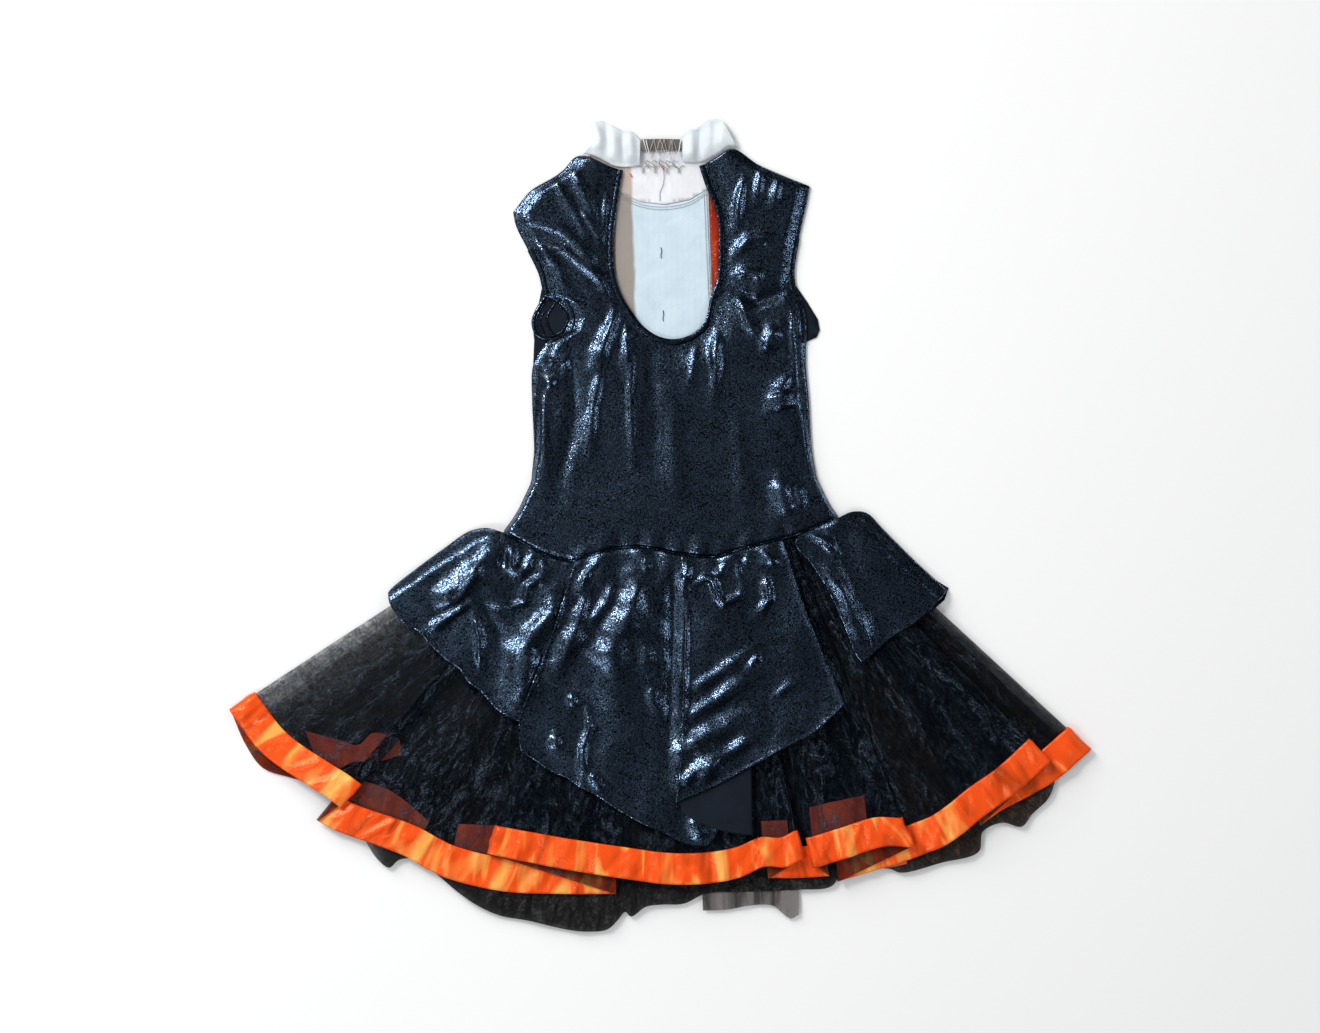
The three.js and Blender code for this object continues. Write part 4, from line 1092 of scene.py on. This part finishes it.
# Folds of the petals: height, width, line.
PETAL_CREASES = [
    (5.0, 11, [(-176, -32), (-201, -60), (-232, -80)]),
    (2.0, 4, [(-181, -44), (-203, -74), (-229, -84)]),
    (3.6, 5, [(-191, -77), (-212, -91), (-236, -107)]),
    (2.4, 3.5, [(-187, -88), (-181, -112), (-181, -146)]),
    (-1.6, 8, [(-178, -70), (-174, -88), (-162, -108), (-157, -126)]),
    (2.8, 3.5, [(-171, -77), (-150, -81), (-136, -77), (-133, -60), (-122, -53), (-112, -64)]),
    (4.2, 9, [(-105, -64), (-109, -88), (-127, -106), (-141, -128), (-145, -160), (-149, -182)]),
    (3.2, 8, [(-128, -120), (-133, -150), (-140, -178)]),
    (3.8, 8, [(-74, -66), (-84, -103), (-98, -131), (-110, -150)]),
    (5.2, 13, [(-30, -48), (-24, -64), (-32, -88), (-46, -108), (-50, -129), (-47, -150), (-46, -165)]),
    (2.6, 5, [(-48, -58), (-54, -76), (-68, -94), (-74, -110)]),
    (2.2, 3.5, [(-74, -181), (-71, -202), (-78, -222), (-78, -258)]),
    (2.6, 5, [(-106, -208), (-104, -222)]),
    (2.2, 4, [(-90, -168), (-86, -180)]),
    (2.2, 5, [(-71, -246), (-58, -266)]),
    (1.8, 6, [(-10, -160), (-6, -185)]),
    (1.6, 6, [(-16, -118), (-12, -140)]),
    (3.0, 6, [(30, -291), (43, -313)]),
    (2.8, 3.5, [(30, -60), (44, -52), (51, -53), (58, -71), (63, -77), (78, -71), (83, -60)]),
    (3.4, 4.5, [(105, -50), (108, -74), (96, -89)]),
    (4.4, 10, [(18, -226), (51, -206), (90, -190)]),
    (3.6, 8, [(18, -258), (38, -244), (54, -226)]),
    (3.2, 7, [(40, -258), (56, -233), (84, -216), (101, -202)]),
    (3.4, 8, [(20, -196), (56, -174), (94, -146)]),
    (2.6, 6, [(28, -166), (60, -146), (92, -122)]),
    (2.0, 4, [(87, -141), (100, -128)]),
    (1.6, 5, [(113, -171), (137, -153)]),
    (2.0, 3, [(27, -77), (25, -119), (23, -167), (22, -215)]),
    (1.6, 3, [(76, -34), (79, -52)]),
    (4.6, 10, [(152, -34), (168, -44), (181, -62), (190, -86), (198, -106), (203, -124)]),
    (4.0, 4.5, [(144, -7), (165, -15), (175, -27)]),
    (-1.6, 4, [(-155, -19), (-160, -44)]),
    (3.0, 4, [(-148, -20), (-150, -40), (-141, -48)]),
    (2.6, 4, [(-128, -26), (-134, -42), (-146, -50)]),
    (2.6, 4, [(-118, -32), (-116, -48)]),
    (3.0, 3.5, [(-98, -34), (-92, -42)]),
    (2.6, 4, [(-60, -28), (-72, -44), (-82, -64)]),
    (2.0, 4, [(-14, -24), (-14, -46)]),
    (3.0, 4, [(28, -36), (24, -56)]),
    (2.6, 4, [(66, -34), (60, -46), (50, -50)]),
    (2.4, 4, [(88, -26), (84, -40)]),
    (2.8, 4, [(98, -22), (108, -32), (118, -38)]),
    (2.4, 4, [(120, -16), (126, -28)]),
]


def outside_skirt(x, y):
    """How far a point is past the skirt's straight sides."""

    def past(side, corner):
        return side[0] * (x - corner[0]) + side[1] * (y - corner[1])

    return np.maximum(past(LEFT_SIDE, SKIRT_CORNER_LEFT), past(RIGHT_SIDE, SKIRT_CORNER_RIGHT))


def petal_height(lift, lower_lift, own=()):
    """A petal's height: its layer at the seam and near its hem, and creases of its own."""
    def height(x, y):
        drop = across(WAIST_SEAM, x) - y
        rise = PETAL_RISE * smooth((drop - 140) / 130)
        layer = mix(lift, lower_lift, smooth((drop - 150) / 60))
        uneven = 1.1 * (0.8 + waves(x, y, 44, 3)) + 0.12 * waves(x, y, 18, 8)
        folds = np.maximum(creases(PETAL_CREASES, x, y), -1.6) + creases(own, x, y)
        gather = 1.1 * waves(x, 0.2 * y, 16, 6) * smooth(1 - drop / 40) - 1.4 * smooth(1 - drop / 6)
        stack = PETAL_Z + rise + layer + (folds + uneven) * smooth(drop / 25) + 0.3 + gather
        return mix(stack, 3 + layer, smooth((outside_skirt(x, y) - 6) / 20))

    return height


def petal(node, seam, hem, left, right, lifts=(0, 0), roll=0.6, own=()):
    """A petal that hangs from a stretch of the waist seam, given by its ends' x."""
    top = clip(WAIST_SEAM, *seam, -WAIST_DROP)
    patch(node, between(top, hem, left, right), 2, petal_height(*lifts, own), FOIL, roll=roll)


def make_petals():
    petal(
        "petal_left", (-157, -76),
        hem=[(-273, -67), (-271, -78), (-254, -101), (-245, -104), (-234, -116), (-215, -134),
             (-201, -144), (-193, -156), (-181, -165), (-164, -184), (-149, -193), (-136, -198)],
        left=[(-175, -2), (-193, -6), (-215, -21), (-245, -43), (-270, -63)],
        right=[(-97, -100), (-122, -160)],
        roll=0.3,
    )
    petal(
        "petal_centre_left", (-86, 30),
        hem=[(-141, -211), (-140, -224), (-126, -234), (-110, -245), (-94, -252), (-81, -261),
             (-67, -268), (-49, -280), (-18, -298), (2, -306), (23, -317), (48, -320)],
        left=[(-111, -114), (-131, -164), (-142, -196)],
        right=[(35, -120), (38, -220), (57, -303)],
        lifts=(3.6, 3.6),
        own=[(-2.6, 7, [(13, -28), (12, -90), (10, -200), (6, -262)])],
    )
    flap = between(
        [(18, -266), (90, -236)],
        [(20, -284), (25, -289), (57, -303), (85, -308), (91, -308)],
    )
    patch("petal_flap", flap, 2, petal_height(4.6, 4.6), MATTE)
    petal(
        "petal_centre_right", (20, 122),
        hem=[(14, -277), (50, -262), (86, -243), (122, -223), (150, -209), (175, -187), (184, -178)],
        left=[(23, -94), (21, -174), (19, -234)],
        right=[(133, -50), (145, -85), (159, -121), (172, -150)],
        lifts=(5.0, 6.4),
    )
    petal(
        "petal_right", (138, 177),
        hem=[(201, -138), (231, -112), (252, -99), (272, -82), (283, -69), (286, -64)],
        left=[(134, -18), (150, -38), (170, -71), (183, -102), (195, -130)],
        right=[(190, 14), (206, 13), (221, -2), (252, -33), (277, -56)],
    )


# ----- camera, light, floor

# Metres: the camera's height, the level at which the view is VIEW_WIDTH wide, and the floor.
CAMERA_HEIGHT = 6.0
FRAMED_LEVEL = 0.01
VIEW_WIDTH = 1.320
FLOOR_REACH = 6
FLOOR_Z = -0.0005
# The camera's sensor in mm.
SENSOR = 36
# The sky's brightness as light on the floor and cloth, and as seen in their shine.
SKY_LIGHT = 0.43
SKY_SHINE = 0.012


def make_stage():
    scene = bpy.context.scene
    camera = bpy.data.objects.new("camera", bpy.data.cameras.new("camera"))
    scene.collection.objects.link(camera)
    scene.camera = camera
    camera.location = (-0.001, 0.0095, CAMERA_HEIGHT)
    camera.data.sensor_width = SENSOR
    camera.data.lens = SENSOR * (CAMERA_HEIGHT - FRAMED_LEVEL) / VIEW_WIDTH
    camera.data.clip_end = 50

    corners = [(-1, -1), (1, -1), (1, 1), (-1, 1)]
    mesh = bpy.data.meshes.new("floor")
    mesh.from_pydata([(FLOOR_REACH * x, FLOOR_REACH * y, FLOOR_Z) for x, y in corners], [], [(0, 1, 2, 3)])
    floor = bpy.data.objects.new("floor", mesh)
    scene.collection.objects.link(floor)
    paper = Nodes("white_surface")
    paper.surface(Base_Color=(0.95, 0.94, 0.93), Roughness=0.9, Specular_IOR_Level=0.0)
    mesh.materials.append(paper.material)

    def lamp(name, place, size, power, colour=(1, 1, 1), shines=True):
        light = bpy.data.lights.new(name, "AREA")
        light.shape = "RECTANGLE"
        light.size, light.size_y = size
        light.energy = power
        light.color = colour
        thing = bpy.data.objects.new(name, light)
        thing.location = place
        thing.rotation_euler = (-Vector(place)).to_track_quat("-Z", "Y").to_euler()
        thing.visible_glossy = shines
        scene.collection.objects.link(thing)

    lamp("key", (-1.45, 1.3, 2.3), (0.8, 0.8), 38, (0.97, 0.99, 1.0))
    lamp("side", (1.9, 0.2, 1.9), (0.5, 0.9), 5, (0.85, 0.93, 1.0))
    lamp("low", (-1.25, -1.25, 2.3), (0.7, 0.7), 14, (0.9, 0.95, 1.0))
    lamp("shade", (-1.9, 2.3, 1.5), (1.6, 1.6), 45, (1.0, 1.0, 1.0), False)
    world = bpy.data.worlds.new("sky")
    world.use_nodes = True
    tree = world.node_tree
    sky = tree.nodes["Background"]
    sky.inputs["Color"].default_value = (1.0, 1.0, 1.0, 1)
    path = tree.nodes.new("ShaderNodeLightPath")
    dim = tree.nodes.new("ShaderNodeMapRange")
    dim.inputs["To Min"].default_value = SKY_LIGHT
    dim.inputs["To Max"].default_value = SKY_SHINE
    tree.links.new(path.outputs["Is Glossy Ray"], dim.inputs["Value"])
    tree.links.new(dim.outputs["Result"], sky.inputs["Strength"])
    world.cycles.sampling_method = "NONE"
    scene.world = world
    scene.view_settings.view_transform = "Standard"


make_stage()
make_front()
make_back()
make_trims()
make_collar()
make_skirt()
make_petals()
